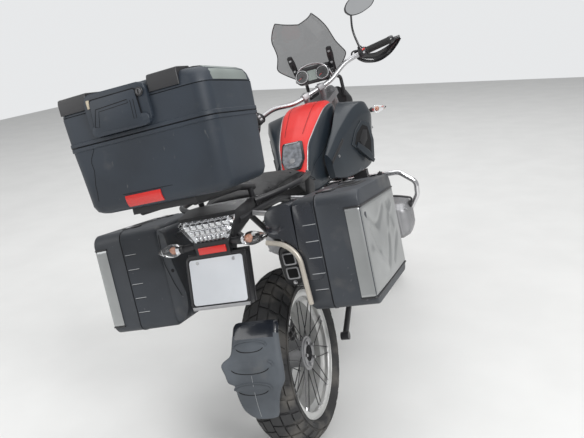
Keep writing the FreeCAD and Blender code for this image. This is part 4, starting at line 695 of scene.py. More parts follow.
def wheel_tyre(side, columns, pitches):
    """Carcass with side walls, and slanted tread blocks on its crown."""
    centre, radius, width, drop, rim_radius, rim_width, _, _ = WHEELS[side]
    half = width / 2
    crown = (half * half + drop * drop) / (2 * drop)
    reach = asin(half / crown)
    bead, flange = rim_width / 2 - 6.3, rim_radius + 1.5
    carcass = crown - GROOVE
    outer = [(carcass * sin(turn), radius - crown + carcass * cos(turn)) for turn in spaced(-reach, reach, 20)]
    wall = ((0.995, 0.00), (0.985, 0.18), (0.97, 0.24), (0.975, 0.30),
        (0.94, 0.55), (0.955, 0.60), (0.90, 0.72), (0.80, 0.90))
    top, low = radius - drop - 3, flange
    side_wall = [(half * u, top + (low - top) * v) for u, v in wall]
    profile = ([(-x, r) for x, r in reversed(side_wall)] + outer + side_wall + [(bead, flange),
        (bead, rim_radius - 13), (-bead, rim_radius - 13), (-bead, flange)])
    add_ring(profile, centre, RIGHT, 128)

    def tread(along, degrees, lift=0.0):
        turn = along / crown
        out = radius - crown + (crown + lift) * cos(turn)
        angle = radians(degrees)
        return Vector(((crown + lift) * sin(turn), centre.y + out * cos(angle), centre.z + out * sin(angle)))

    pitch = 360 / pitches
    for index in range(pitches):
        for hand in (-1, 1):
            start = pitch * (index + (0.5 if hand > 0 else 0))
            for low_s, high_s, slant, share in columns:
                grid = [[(hand * along, start + pitch * share * a + slant * along)
                    for along in spaced(low_s, high_s, 2)] for a in (0, 0.5, 1)]
                tops = add_sheet([[tread(*p) for p in line] for line in grid])
                ring = [(0, 0), (0, 1), (0, 2), (1, 2), (2, 2), (2, 1), (2, 0), (1, 0)]
                feet = [bm.verts.new(tread(*grid[a][b], -GROOVE - 0.5)) for a, b in ring]
                for i in range(8):
                    j = (i + 1) % 8
                    first, second = tops[ring[i][0]][ring[i][1]], tops[ring[j][0]][ring[j][1]]
                    bm.faces.new((first, second, feet[j], feet[i]))
    finish_mesh(f"{side}_tyre_tread", "tyre", f"{side}_wheel", sharp=32, replaces=(f"{side}_tyre",))


wheel_tyre("rear", ((2, 33, 0.05, 0.86), (38, 70, 0.075, 0.80), (75, 101, 0.085, 0.62)), 34)
wheel_tyre("front", ((2, 22, 0.05, 0.86), (26, 48, 0.07, 0.80), (52, 74, 0.085, 0.62)), 38)


def wheel_rim(side):
    """Bright rim with rolled lips, crossed dark spokes with nipples, and the hub."""
    centre, _, _, _, radius, width, hub_radius, hub_half = WHEELS[side]
    half = width / 2
    seat, well = radius - 14, radius - 31
    upper = [(half - 5, radius + 1.2), (half - 6.5, radius - 3), (half - 8, seat + 2), (half - 11, seat),
        (half * 0.62, seat), (half * 0.5, well)]
    lower = [(half, radius - 0.5), (half + 1.2, radius - 6), (half + 0.4, radius - 14), (half - 1.5, radius - 23),
        (half - 6, radius - 25), (half * 0.66, seat - 7), (half * 0.5, well - 7)]
    add_ring([(-x, r) for x, r in upper] + upper[::-1] + two_sided(lower), centre, RIGHT, 128)
    for s in (-1, 1):
        lip = [(s * (half - 1.2) + 3.4 * cos(a), radius - 0.6 + 3.4 * sin(a)) for a in angles(10)]
        add_ring(lip, centre, RIGHT, 128)
        for index in range(10):
            for lean in (-1, 1):
                root_angle = 2 * pi * (index + 0.25 * s + 0.25 * lean) / 10
                tip_angle = root_angle + lean * radians(24)
                root = polar(centre, hub_radius - 5, root_angle) + RIGHT * s * (hub_half - 6 + 1.6 * lean)
                tip = polar(centre, radius - 20, tip_angle) + RIGHT * s * (half - 5)
                run = (tip - root).normalized()
                add_tube([root, tip], 1.8, sides=8, finish=1)
                add_tube([tip - run * 15, tip + run * 2], 3.4, sides=8, finish=2)
    hub = two_sided([(hub_half * 0.4, hub_radius - 14), (hub_half - 11, hub_radius - 9), (hub_half - 8, hub_radius),
        (hub_half, hub_radius - 1), (hub_half + 0.5, hub_radius - 10), (hub_half + 0.5, 30), (hub_half - 4, 28)])
    if side == "front":
        hub = [(x, max(r, 14) if r > 30 else 13) for x, r in hub]
    add_ring(hub, centre, RIGHT, 64, 3)
    finish_mesh(f"{side}_rim_spokes", "polished spoke steel cast", f"{side}_wheel", sharp=35,
        replaces=(f"{side}_rim",))


wheel_rim("rear")
wheel_rim("front")

# Hub bolts of the rear wheel, and holes of the brake discs
hub_centre = REAR_AXLE + RIGHT * 55.5
add_ring([(0, 52), (4, 51), (5, 48), (3, 30), (0, 29)], hub_centre, RIGHT, 48, 0)
for index in range(5):
    add_bolt(polar(hub_centre, 40, radians(72 * index + 20)) + RIGHT * 3.5, RIGHT, 6.5, 9, 1)
add_ring([(2, 30), (3, 27.5), (-26, 27.5), (-26, 30)], hub_centre, RIGHT, 48, 2)
finish_mesh("rear_hub_bolts", "cast steel groove", "rear_wheel")


def disc_holes(name, centre, faces, radius, body):
    """Three rows of holes on the faces of a disc, each face given by its X and the way it looks."""
    for x, out in faces:
        for band in range(3):
            for index in range(28):
                spot = polar(centre, radius - 7 - 9 * band, 2 * pi * (index + band / 3) / 28) + RIGHT * x
                add_disc(spot, RIGHT * out, 2.6, 0.35, 0, 0.1, 10)
    finish_mesh(name, "groove", body)


disc_holes("rear_disc_holes", REAR_AXLE, ((-63.4, 1), (-68.6, -1)), 138, "rear_wheel")
front_faces = [(s * 72 + d * 2.6, d) for s in (-1, 1) for d in (-1, 1)]
disc_holes("front_disc_holes", FRONT_AXLE, front_faces, 152, "front_wheel")

# Spray guard behind the rear tyre
GUARD_ROWS = (
    # degrees above the rearward horizontal, left and right half width, radius outside
    (-3, 26, 50, 356), (-1, 40, 58, 358), (3, 56, 64, 360), (10, 65, 78, 361), (15, 68, 96, 361), (17, 90, 101, 361),
    (21, 98, 102, 361), (25, 108, 101, 361), (27.5, 100, 99, 361), (31, 72, 97, 361), (40, 66, 91, 360),
    (45, 64, 90, 359), (47, 56, 83, 355),
)


def guard_point(degrees, x, radius):
    a = radians(degrees)
    return Vector((x, -radius * cos(a), AXLE_HEIGHT + radius * sin(a)))


rings = []
inside = 341
for degrees, left, right, radius in blend_rows(GUARD_ROWS, 4):
    section = [(-left, inside), (-left - 2, inside + 8), (-left + 3, radius - 4), (-left + 12, radius)]
    section += [(-left + 12 + (left + right - 24) * k / 6, radius + 1.5 * sin(pi * k / 6)) for k in range(1, 6)]
    section += [(right - 12, radius), (right - 3, radius - 4), (right + 2, inside + 8), (right, inside)]
    rings.append([guard_point(degrees, x, r) for x, r in section])
add_loft(rings)
band_height = guard_point(38.6, 0, 361).z
for face in bm.faces:
    if sum(vert.co.z for vert in face.verts) / len(face.verts) > band_height:
        face.material_index = 1
for degrees, centre, reach, rise in ((34, -1, 57, 2.8), (24.3, -4, 80, 3.5), (13.4, -2, 63, 2.9)):
    # Each ridge is a raised tube along its top, and a thin dark crescent in groove_shadow along its bottom, a painted
    # shadow under the ridge.
    for sign, thick, finish in ((1, 3.4, 0), (-1, 1.7, 2)):
        arc = [guard_point(degrees + sign * rise * sin(pi * k / 20) ** 0.8,
            centre + reach * (0.82 if sign < 0 else 1) * cos(pi * k / 20), 361.8 + 0.4 * sign) for k in range(21)]
        add_tube(arc, thick, 0, 8, finish)
    oval = [[guard_point(degrees + rise * up * sin(a), centre + reach * out * cos(a), radius) for a in angles(32)]
        for up, out, radius in ((1, 1, 360), (0.3, 0.9, 364.5))]
    add_loft(oval)
add_line([guard_point(d, 4 - 0.2 * d, 362.9) for d in range(-1, 22, 3)], 1.4, (0, -1, 0.2), 0.4, 3)
finish_mesh("spray_guard_shell", "weathered guard_band groove notch", replaces=("spray_guard",))
add_tube([(-120, -62, 338), (-112, -250, 420), (-84, -314, 462)], (12, 10), 60, 16)
add_tube([(-112, -240, 414), (-70, -300, 400), (-60, -330, 402)], 8, 30, 12)
for spot in ((-84, -318, 464), (-60, -336, 402)):
    add_bolt(spot, (0, -1, 0.3), 6, 6, 1)
finish_mesh("spray_guard_arm", "dark_steel steel")

# Tail lamp, reflector, plate and rear turn lamps
def cross_loft(rows, round_by, steps=3, ease=3):
    """A loft through rows of (forward, right half of the outline, from low to high), eased and softened."""
    flat = [tuple(c for point in two_sided(half) for c in point) + (y,) for y, half in rows]
    add_loft([softened([(row[i], row[-1], row[i + 1]) for i in range(0, len(row) - 1, 2)], round_by, steps)
        for row in blend_rows(flat, ease)])


cross_loft([(-316.5, [(59, 886), (94, 952)]), (-336, [(57, 888), (92, 950)]), (-343, [(52, 894), (84, 944)])], 7)
finish_mesh("tail_lens", "clear", replaces=("tail_lamp",))
for row in range(3):
    z = 900 + 17 * row
    reach = 47 + 13 * row
    for k in range(7):
        x = -reach + 2 * reach * (k + 0.5) / 7
        add_block((x - reach / 7 + 1.2, -332, z - 7), (x + reach / 7 - 1.2, -322, z + 7), 2.5, 0, 3)
cross_loft([(-317, [(57, 888), (92, 950)]), (-323, [(54, 891), (88, 947)])], 5, 3, 2)
finish_mesh("tail_leds", "lamp_bowl")

cross_loft([(-262, [(40, 836), (62, 905)]), (-328, [(48, 828), (62, 890)]), (-338, [(54, 838), (56, 884)])], 8)
for s in (-1, 1):
    add_tube([(s * 30, -300, 872), (s * 74, -330, 876), (s * 94, -338, 877)], 11, 20, 14)
finish_mesh("tail_bracket", "black")
add_block((-45, -343, 852), (45, -334, 873), 2, 0, 3)
finish_mesh("tail_reflector", "reflector")

PLATE_TILT = radians(19.4)
PLATE_UP = Vector((0, sin(PLATE_TILT), cos(PLATE_TILT)))
PLATE_OUT = Vector((0, -PLATE_UP.z, PLATE_UP.y))
PLATE_CENTRE = Vector((0, -359, 774))
add_slab(rounded_outline(176, 134, 8), PLATE_CENTRE + PLATE_OUT * 0.4, RIGHT, PLATE_UP, PLATE_OUT, 3, 0.8, 0)
finish_mesh("plate_sheet", "plate", replaces=("licence_plate",))
add_slab(rounded_outline(200, 158, 12), PLATE_CENTRE - PLATE_OUT * 22, RIGHT, PLATE_UP, PLATE_OUT, 22, 3, 0, 3)
loop = [PLATE_CENTRE + RIGHT * u + PLATE_UP * v + PLATE_OUT * 1.6 for u, v in rounded_outline(186, 144, 10)]
for ends in zip(loop, loop[1:] + loop[:1]):
    add_tube(ends, 2.4, sides=8)
add_slab([(-92, -7), (92, -7), (94, 3), (-94, 3)], PLATE_CENTRE - PLATE_UP * 74, RIGHT, PLATE_UP, PLATE_OUT, 6, 2, 1)
for x in (-60, 60):
    add_bolt(PLATE_CENTRE + RIGHT * x + PLATE_UP * 57 + PLATE_OUT * 3.4, PLATE_OUT, 4, 2.5, 2)
finish_mesh("plate_frame", "black cast steel")


def turn_lamp(name, side, x_in, x_out, y, z):
    """A leaf-shaped clear lens with its amber bulb and black socket."""
    rows = blend_rows([(0.0, 10, 10), (0.18, 19, 16), (0.42, 24, 20), (0.72, 19, 14), (0.93, 9, 6), (1.0, 3, 2)], 3)
    rings = []
    for share, half_y, half_z in rows:
        x = side * (x_in + (x_out - x_in) * share)
        rings.append([(x, y + half_y * cos(a), z + half_z * sin(a)) for a in angles(20)])
    add_loft(rings)
    finish_mesh(f"{name}_lens", "clear", replaces=("indicators",))
    add_ring([(0, 1), (0, 5), (8, 7), (14, 6), (19, 1)], (side * (x_in + 22), y, z), RIGHT * side, 20, 0)
    add_ring([(-6, 1), (-6, 12), (4, 12.5), (7, 11), (7, 1)], (side * x_in, y, z), RIGHT * side, 24, 1)
    add_ring([(5, 1), (5, 9), (14, 13), (13, 14), (4, 10), (4, 1)], (side * (x_in + 4), y, z), RIGHT * side, 24, 2)
    finish_mesh(f"{name}_bulb", "amber black lamp_bowl")


for hand, label in ((1, "right"), (-1, "left")):
    turn_lamp(f"rear_{label}_turn", hand, 96, 182, -338, 878)
    turn_lamp(f"front_{label}_turn", hand, 214, 292, 1292, 985)

# Silencer with two stacked outlets
SILENCER_ROWS = ((382, 176, 461, 30, 38), (340, 177, 488, 37, 54), (300, 178, 512, 41, 63), (180, 178, 567, 41, 68),
    (60, 178, 622, 41, 72), (-60, 178, 672, 40, 72), (-180, 178, 722, 39, 70), (-222, 179, 738, 33, 64))


def silencer_ring(y, x, z, half_width, half_height, grow=0.0):
    ring = []
    for a in angles(28):
        u = copysign(abs(cos(a)) ** 0.62, cos(a)) * (half_width + grow)
        v = copysign(abs(sin(a)) ** 0.62, sin(a)) * (half_height + grow)
        ring.append(Vector((x + u, y, z + v)))
    return ring


add_loft([silencer_ring(*row) for row in blend_rows(SILENCER_ROWS, 3)])
finish_mesh("silencer_body", "brushed_steel", replaces=("silencer",))
add_loft([silencer_ring(*row) for row in ((-196, 178.5, 728, 36, 67, 1.5), (-222, 179, 738, 34, 65, 1.5),
    (-228, 179, 739, 30, 61), (-226, 179, 739, 27, 58))])
for z in (762, 716):
    add_slab(rounded_outline(42, 40, 7, 4), (180, -226, z), RIGHT, UP, REAR, 6, 2, 1)
    add_slab(rounded_outline(32, 30, 5, 4), (180, -232, z), RIGHT, UP, REAR, 0.4, 0, 2)
add_bolt((178, -226, 684), REAR, 5, 5, 3)
finish_mesh("silencer_end", "dark_steel cast groove steel")
rows = [row for row in blend_rows(SILENCER_ROWS, 4) if -150 < row[0] < 300]
shield = [silencer_ring(*row, grow=2.2) for row in rows]
add_sheet([ring[-9:] + ring[:10] for ring in shield])
for y, z in ((250, 560), (110, 625), (-90, 700)):
    add_bolt((220, y, z - 22), RIGHT, 5, 4, 1)
finish_mesh("silencer_shield", "panel steel")
add_tube([(-88, -4, 222), (-30, -8, 210), (6, -9, 172), (13, -9, 28)], 7.5, 46, 16)
finish_mesh("cutout_tube", "light_tube", "chassis", RIGHT_BOX)

# Fuel tank, its cap and the side panels
TANK_ROWS = (
    # forward, half width low, half width high, low, high
    (495, 56, 62, 790, 893), (532, 62, 67, 781, 948), (570, 68, 73, 775, 1003), (632, 78, 83, 775, 1038),
    (695, 88, 92, 776, 1068), (811, 100, 106, 780, 1113), (930, 104, 112, 800, 1123), (984, 93, 101, 850, 1105),
)


def tank_ring(y, low_half, half, low, high):
    right = [(low_half, low), (half, (low + high) / 2), (half + 1, high - 34), (half - 24, high - 8)]
    outline = right + [(0, high - 1)] + [(-x, z) for x, z in reversed(right)]
    return softened([(x, y, z) for x, z in outline], 12, 4)


tank_rows = blend_rows(TANK_ROWS, 5)
tank_skin = add_loft([tank_ring(*row) for row in tank_rows])
RED_FROM, RED_TO = 14, 30
for ring, ahead in zip(tank_skin, tank_skin[1:]):
    for index, vert in enumerate(ring):
        if not RED_FROM <= index < RED_TO:
            following = ring[(index + 1) % len(ring)]
            face = bm.faces.get((vert, following, ahead[(index + 1) % len(ring)], ahead[index]))
            face.material_index = 3
for index in (RED_FROM, RED_TO):
    add_tube([ring[index].co.copy() for ring in tank_skin[1:-1]], 2.2, 4, 8, 1)
for s in (-1, 1):
    crease = [(s * (row[2] * 0.52), row[0], row[4] - 3.4) for row in tank_rows[13:-4]]
    add_line(crease, 1.6, (0, -0.5, 1), 0.8, 2)
    seam = [(s * (row[2] + 0.8), row[0], (row[3] + row[4]) / 2 + 4) for row in tank_rows[3:-2]]
    add_line(seam, 2.0, RIGHT * s, 0.5, 2)
finish_mesh("tank_shell", "red aluminium groove charcoal", sharp=28, replaces=("fuel_tank",))

CAP_LOW = Vector((0, 501, 900))
CAP_RUN = Vector((0, 75, 110)).normalized()
CAP_UP = Vector((0, -CAP_RUN.z, CAP_RUN.y))


def cap_outline(grow):
    half, length = 44 + grow, 112 + 2 * grow
    corners = [(half * 0.62, -grow), (half, length * 0.3), (half * 0.86, length - grow), (-half * 0.86, length - grow),
        (-half, length * 0.3), (-half * 0.62, -grow)]
    return softened(corners, 9, 4)


add_slab(cap_outline(9), CAP_LOW - CAP_UP * 1.5, RIGHT, CAP_RUN, CAP_UP, 4.5, 1.5, 0, 2)
finish_mesh("cap_surround", "gloss_black")
add_slab(cap_outline(0), CAP_LOW + CAP_UP * 3.4, RIGHT, CAP_RUN, CAP_UP, 7.6, 3, 0, 4)
add_slab(cap_outline(-12), CAP_LOW + CAP_UP * 10.6, RIGHT, CAP_RUN, CAP_UP, 1.4, 1, 0, 2)
add_disc(CAP_LOW + CAP_RUN * 30 + CAP_UP * 11.8, CAP_UP, 12, 2.2, 1, 0.8, 28)
add_block((-1, 521, 930.5), (1, 525, 936), 0.3, 2)
add_tube([CAP_LOW + CAP_RUN * 112 + CAP_UP * 9 + RIGHT * x for x in (-30, 30)], 4, sides=12, finish=1)
finish_mesh("cap_lid", "cap steel groove", "fuel_cap", replaces=("fuel_cap",))

PANEL_ROWS = (
    # forward, inner, top, outer, outer height, low side, low height
    (640, 98, 905, 128, 880, 128, 800), (700, 110, 952, 150, 918, 148, 780), (760, 122, 992, 170, 952, 166, 768),
    (900, 130, 1078, 227, 1010, 205, 760), (1000, 130, 1083, 263, 1010, 222, 770),
    (1060, 188, 1012, 251, 965, 215, 800),
)
for s, label in ((1, "right"), (-1, "left")):
    rings = []
    for y, inner, top, outer, outer_z, low_x, low_z in blend_rows(PANEL_ROWS, 5):
        loop = [(inner, top), (outer - 16, (top + outer_z) / 2 + 16), (outer, outer_z), (low_x, low_z),
            (low_x - 26, low_z), (inner, outer_z - 40)]
        rings.append(softened([(s * x, y, z) for x, z in loop], 9, 3))
    add_loft(rings)
    out = Vector((s * 0.925, -0.38, 0))
    along = Vector((s * 0.38, 0.925, 0))
    base = (s * 191, 830, 0)
    fin = [(-20, 900), (28, 955), (92, 990), (150, 965), (158, 880), (132, 800), (96, 792), (40, 846)]
    add_slab(fin, base, along, UP, out, 9, 4, 0, 3)
    recess = [(0, 898), (34, 940), (92, 968), (128, 950), (134, 884), (112, 822), (96, 818), (50, 858)]
    add_slab(recess, Vector(base) + out * 8.6, along, UP, out, 0.8, 0, 1)
    blade = [(4, 880), (22, 902), (96, 842), (122, 790), (108, 782)]
    add_slab(blade, Vector(base) + out * 8, along, UP, out, 9, 3.5, 0, 3)
    inner_blade = [(40, 906), (84, 946), (116, 938), (104, 896), (60, 868)]
    add_slab(inner_blade, Vector(base) + out * 9, along, UP, out, 2.2, 0.8, 2)
    rear_fin = [(640, 876), (700, 912), (760, 946), (760, 930), (700, 896), (640, 862)]
    add_slab([(y - 640, z) for y, z in rear_fin], (s * 127, 640, 0), Vector((s * 0.33, 0.944, 0)), UP,
        Vector((s * 0.944, -0.33, 0)), 5, 2, 2, 2)
    add_bolt(Vector((s * 150, 700, 880)), out, 5, 3, 3)
    add_bolt(Vector((s * 252, 1030, 930)), RIGHT * s, 5, 3, 3)
    finish_mesh(f"{label}_side_panel", "charcoal groove black steel", sharp=30, replaces=("tank_panels",))

# Seats
def seat_top(t):
    """How far the cover lies above its edge's height at a share of its half width."""
    return 7 * (1 - t * t) - 14 * abs(t) ** 7


def seat_ring(y, half, low, top):
    side = [(half - 14 + 14 * sin(pi * t / 2) - 4 * sin(pi * t), low + (top - low - 14) * t)
        for t in spaced(0, 1, 8)[1:-1]]
    ring = [(-(half - 14) * t, low) for t in spaced(-1, 1, 8)] + [(-x, z) for x, z in side]
    ring += [(half * t, top - 2 + seat_top(t)) for t in spaced(-1, 1, 24)] + side[::-1]
    return [(x, y, z) for x, z in ring]


SEAT_SWELL = 0.008


def inflated(obj):
    """A pad whose cover is blown up a little by a cloth run, so that its sides bulge and wrinkle."""
    def evaluated():
        bpy.context.view_layer.update()
        return bpy.data.meshes.new_from_object(obj.evaluated_get(bpy.context.evaluated_depsgraph_get()))

    weave = obj.modifiers.new("weave", "REMESH")
    weave.mode = "VOXEL"
    weave.voxel_size = 0.006
    mesh = evaluated()
    obj.modifiers.remove(weave)
    obj.data = mesh
    group = obj.vertex_groups.new(name="held")
    centre = sum((v.co.z for v in mesh.vertices), 0.0) / len(mesh.vertices)
    group.add([v.index for v in mesh.vertices if v.normal.z < -0.35 and v.co.z < centre], 1.0, "ADD")
    cloth = obj.modifiers.new("cover", "CLOTH")
    for setting, value in (("quality", 4), ("use_pressure", True), ("uniform_pressure_force", 3.0),
            ("tension_stiffness", 30), ("compression_stiffness", 30), ("bending_stiffness", 2.0),
            ("vertex_group_mass", "held")):
        setattr(cloth.settings, setting, value)
    cloth.settings.effector_weights.gravity = 0.0
    cloth.collision_settings.use_collision = False
    for number in range(1, 15):
        bpy.context.scene.frame_set(number)
    for vertex, moved in zip(mesh.vertices, evaluated().vertices):
        shift = moved.co - vertex.co
        vertex.co += shift if shift.length < SEAT_SWELL else shift.normalized() * SEAT_SWELL
    obj.modifiers.remove(cloth)
    for polygon in mesh.polygons:
        polygon.use_smooth = True
    smooth = obj.modifiers.new("even", "SMOOTH")
    smooth.iterations = 3
    bpy.context.scene.frame_set(1)


def seat_pad(name, rows, node):
    eased = blend_rows(rows, 6)
    add_loft([seat_ring(*row) for row in eased])
    pad = finish_mesh(name, "seat", sharp=70, replaces=(node,))
    inflated(pad)
    for s in (-1, 1):
        add_tube([(s * (row[1] - 1.0), row[0], row[3] - 15) for row in eased[1:-1]], 1.5, 3, 6)
    for y, half, _, top in (eased[len(eased) // 3], eased[2 * len(eased) // 3]):
        add_tube([(half * t, y, top - 1.4 + seat_top(t)) for t in spaced(-0.9, 0.9, 16)], 1.3, 3, 6)
    finish_mesh(f"{name}_piping", "groove")


seat_pad("rider_cushion", ((493, 46, 824, 884), (455, 68, 822, 880), (420, 92, 821, 877), (360, 122, 823, 882),
    (300, 148, 826, 895), (250, 156, 834, 915), (214, 156, 842, 930)), "rider_seat")
seat_pad("pillion_cushion", ((208, 148, 857, 941), (165, 150, 885, 958), (120, 142, 921, 963), (30, 132, 926, 965),
    (-60, 120, 931, 962), (-100, 110, 936, 959), (-129, 98, 941, 955)), "passenger_seat")
for s in (-1, 1):
    add_tube([(s * 150, 150, 925), (s * 196, 110, 944), (s * 208, -20, 950), (s * 186, -140, 956),
        (s * 112, -205, 952)], 11, 45, 14, flat=0.8)
    for y, x in ((96, 196), (-120, 190)):
        add_bolt((s * (x - 2), y, 950), UP, 6, 9, 1)
finish_mesh("grab_handles", "black steel")

# Screen with its notched top edge, brackets, bar and instruments
SCREEN_ROWS = (
    # height, middle forward, half width, sweep back at the sides
    (1225, 1240, 105, 24), (1262, 1225, 150, 42), (1300, 1208, 182, 56), (1332, 1189, 170, 52), (1365, 1168, 154, 50),
    (1402, 1144, 147, 56), (1440, 1118, 141, 66), (1480, 1091, 120, 58), (1515, 1066, 92, 46),
)


def screen_point(u, height, depth=0.0):
    """A point of the screen; u runs from -1 to 1 across it, depth is behind its front."""
    rows = blend_rows(SCREEN_ROWS, 4)
    for lower, upper in zip(rows, rows[1:]):
        if lower[0] <= height <= upper[0] + 0.01:
            share = (height - lower[0]) / (upper[0] - lower[0])
            y, half, sweep = (a + (b - a) * share for a, b in zip(lower[1:], upper[1:]))
            break
    radius = (half**2 + sweep**2) / (2 * sweep)
    angle = u * asin(half / radius)
    return Vector((radius * sin(angle), y - depth - radius * (1 - cos(angle)), height))


def screen_top(u):
    """Height of the top edge, which falls to a notch in the middle."""
    return 1484 + 31 * abs(u) - 60 * max(0.0, abs(u) - 0.9) ** 1.5


across, levels = spaced(-1, 1, 28), spaced(0, 1, 26)
add_shell([[screen_point(u, 1225 + (screen_top(u) - 1225) * t) for u in across] for t in levels], (0, -4, 0))
finish_mesh("screen_sheet", "smoke", sharp=30, replaces=("windscreen",))
for s in (-1, 1):
    add_tube([screen_point(s, 1228 + (screen_top(s) - 1230) * t, 2) for t in levels], 2.4, 3, 8)
add_tube([screen_point(u, screen_top(u), 2) for u in across], 2.4, 3, 8)
add_tube([screen_point(u, 1226, 2) for u in across], 3.2, 3, 8)
finish_mesh("screen_edge", "gloss_black")

BRACKET_RUN = (Vector((104, 1142, 1345)) - Vector((96, 1185, 1236))).normalized()
for s in (-1, 1):
    run = Vector((s * BRACKET_RUN.x, BRACKET_RUN.y, BRACKET_RUN.z))
    out = RIGHT.cross(run).normalized()
    base = Vector((s * 96, 1185, 1236)) - out * 7
    plate = ((-13, 46), (13, 46), (15, 80), (12, 122), (-12, 122), (-15, 80))
    add_slab(softened(plate, 7, 3), base, RIGHT, run, out, 14, 2.5, 0)
    add_tube([base + out * 7 - run * 14, base + out * 7 + run * 60], 6, sides=12)
    for centre, half in ((68, 12), (100, 10)):
        slot = rounded_outline(9, 2 * half, 4.2, 4)
        for lift in (-0.5, 14.2):
            add_slab([(u, v + centre) for u, v in slot], base + out * lift, RIGHT, run, out, 0.3, 0, 1)
    for share in (0.35, 0.85):
        root = Vector((s * 96, 1185, 1236)) + run * 117.3 * share
        add_tube([root, root + FRONT * 24], 6.5, sides=14)
        add_bolt(root - FRONT * 8, REAR, 5, 5, 2)
arc = [(-94, 1132, 1216), (-84, 1126, 1254), (-54, 1120, 1284), (0, 1118, 1294),
    (54, 1120, 1284), (84, 1126, 1254), (94, 1132, 1216)]
add_tube(arc, 5.5, 24, 14, 2)
finish_mesh("screen_brackets", "black groove aluminium")

DASH_UP = Vector((0, 0.30, 0.954)).normalized()
DASH_OUT = Vector((0, -0.954, 0.30)).normalized()
DASH_CENTRE = Vector((0, 1132, 1232))
add_slab(rounded_outline(176, 74, 26, 6), DASH_CENTRE, RIGHT, DASH_UP, DASH_OUT, 20, 5, 0, 4)
add_slab(rounded_outline(50, 50, 6, 4), DASH_CENTRE + DASH_OUT * 19.6, RIGHT, DASH_UP, DASH_OUT, 0.8, 0, 2)
for s in (-1, 1):
    centre = DASH_CENTRE + RIGHT * s * 54 + DASH_OUT * 19
    add_ring([(0, 34), (5, 34), (7, 32), (7, 29.5), (2, 29), (0, 29)], centre, DASH_OUT, 48, 1)
    add_disc(centre, DASH_OUT, 29.2, 1.6, 3, 0.2, 40)
    for k in range(17):
        a = radians(-40 + 260 * k / 16)
        ray = RIGHT * cos(a) + DASH_UP * sin(a)
        tick = [centre + DASH_OUT * 1.9 + ray * r for r in (21.5, 26.5)]
        add_line(tick, 1.1, DASH_OUT, 0.1, 2)
    needle = RIGHT * cos(radians(214)) + DASH_UP * sin(radians(214))
    add_line([centre + DASH_OUT * 2.4 - needle * 5, centre + DASH_OUT * 2.4 + needle * 22], 1.8, DASH_OUT, 0.2, 4)
    add_disc(centre + DASH_OUT * 1.8, DASH_OUT, 4.2, 2.4, 0, 0.6, 16)
finish_mesh("dash_dials", "black aluminium display dial reflector")

# Handlebar, grips, switches, levers, hand guards and mirrors
GRIP_END = Vector((446, 967.4, 1172))
GRIP_RUN = Vector((157, -60, -22)).normalized()
GRIP_START = GRIP_END - GRIP_RUN * 124
BAR = ((446, -88, 14), (289, -28, 36), (215, -8, 38), (112, 0, 0), (0, 0, 0))
bar_middle = Vector((0, 1055.4, 1158))
half_bar = [bar_middle + Vector(p) for p in BAR]
add_tube(half_bar + [Vector((-p.x, p.y, p.z)) for p in reversed(half_bar[:-1])], 12, 42, 20)
for s in (-1, 1):
    add_block((s * 46 - 18, 1036, 1144), (s * 46 + 18, 1075, 1175), 4, 1, 3)
    for y in (1043, 1068):
        add_bolt((s * 46, y, 1175), UP, 4.5, 5, 2)
finish_mesh("handlebar_tube", "aluminium cast steel", "steering", replaces=("handlebar",))


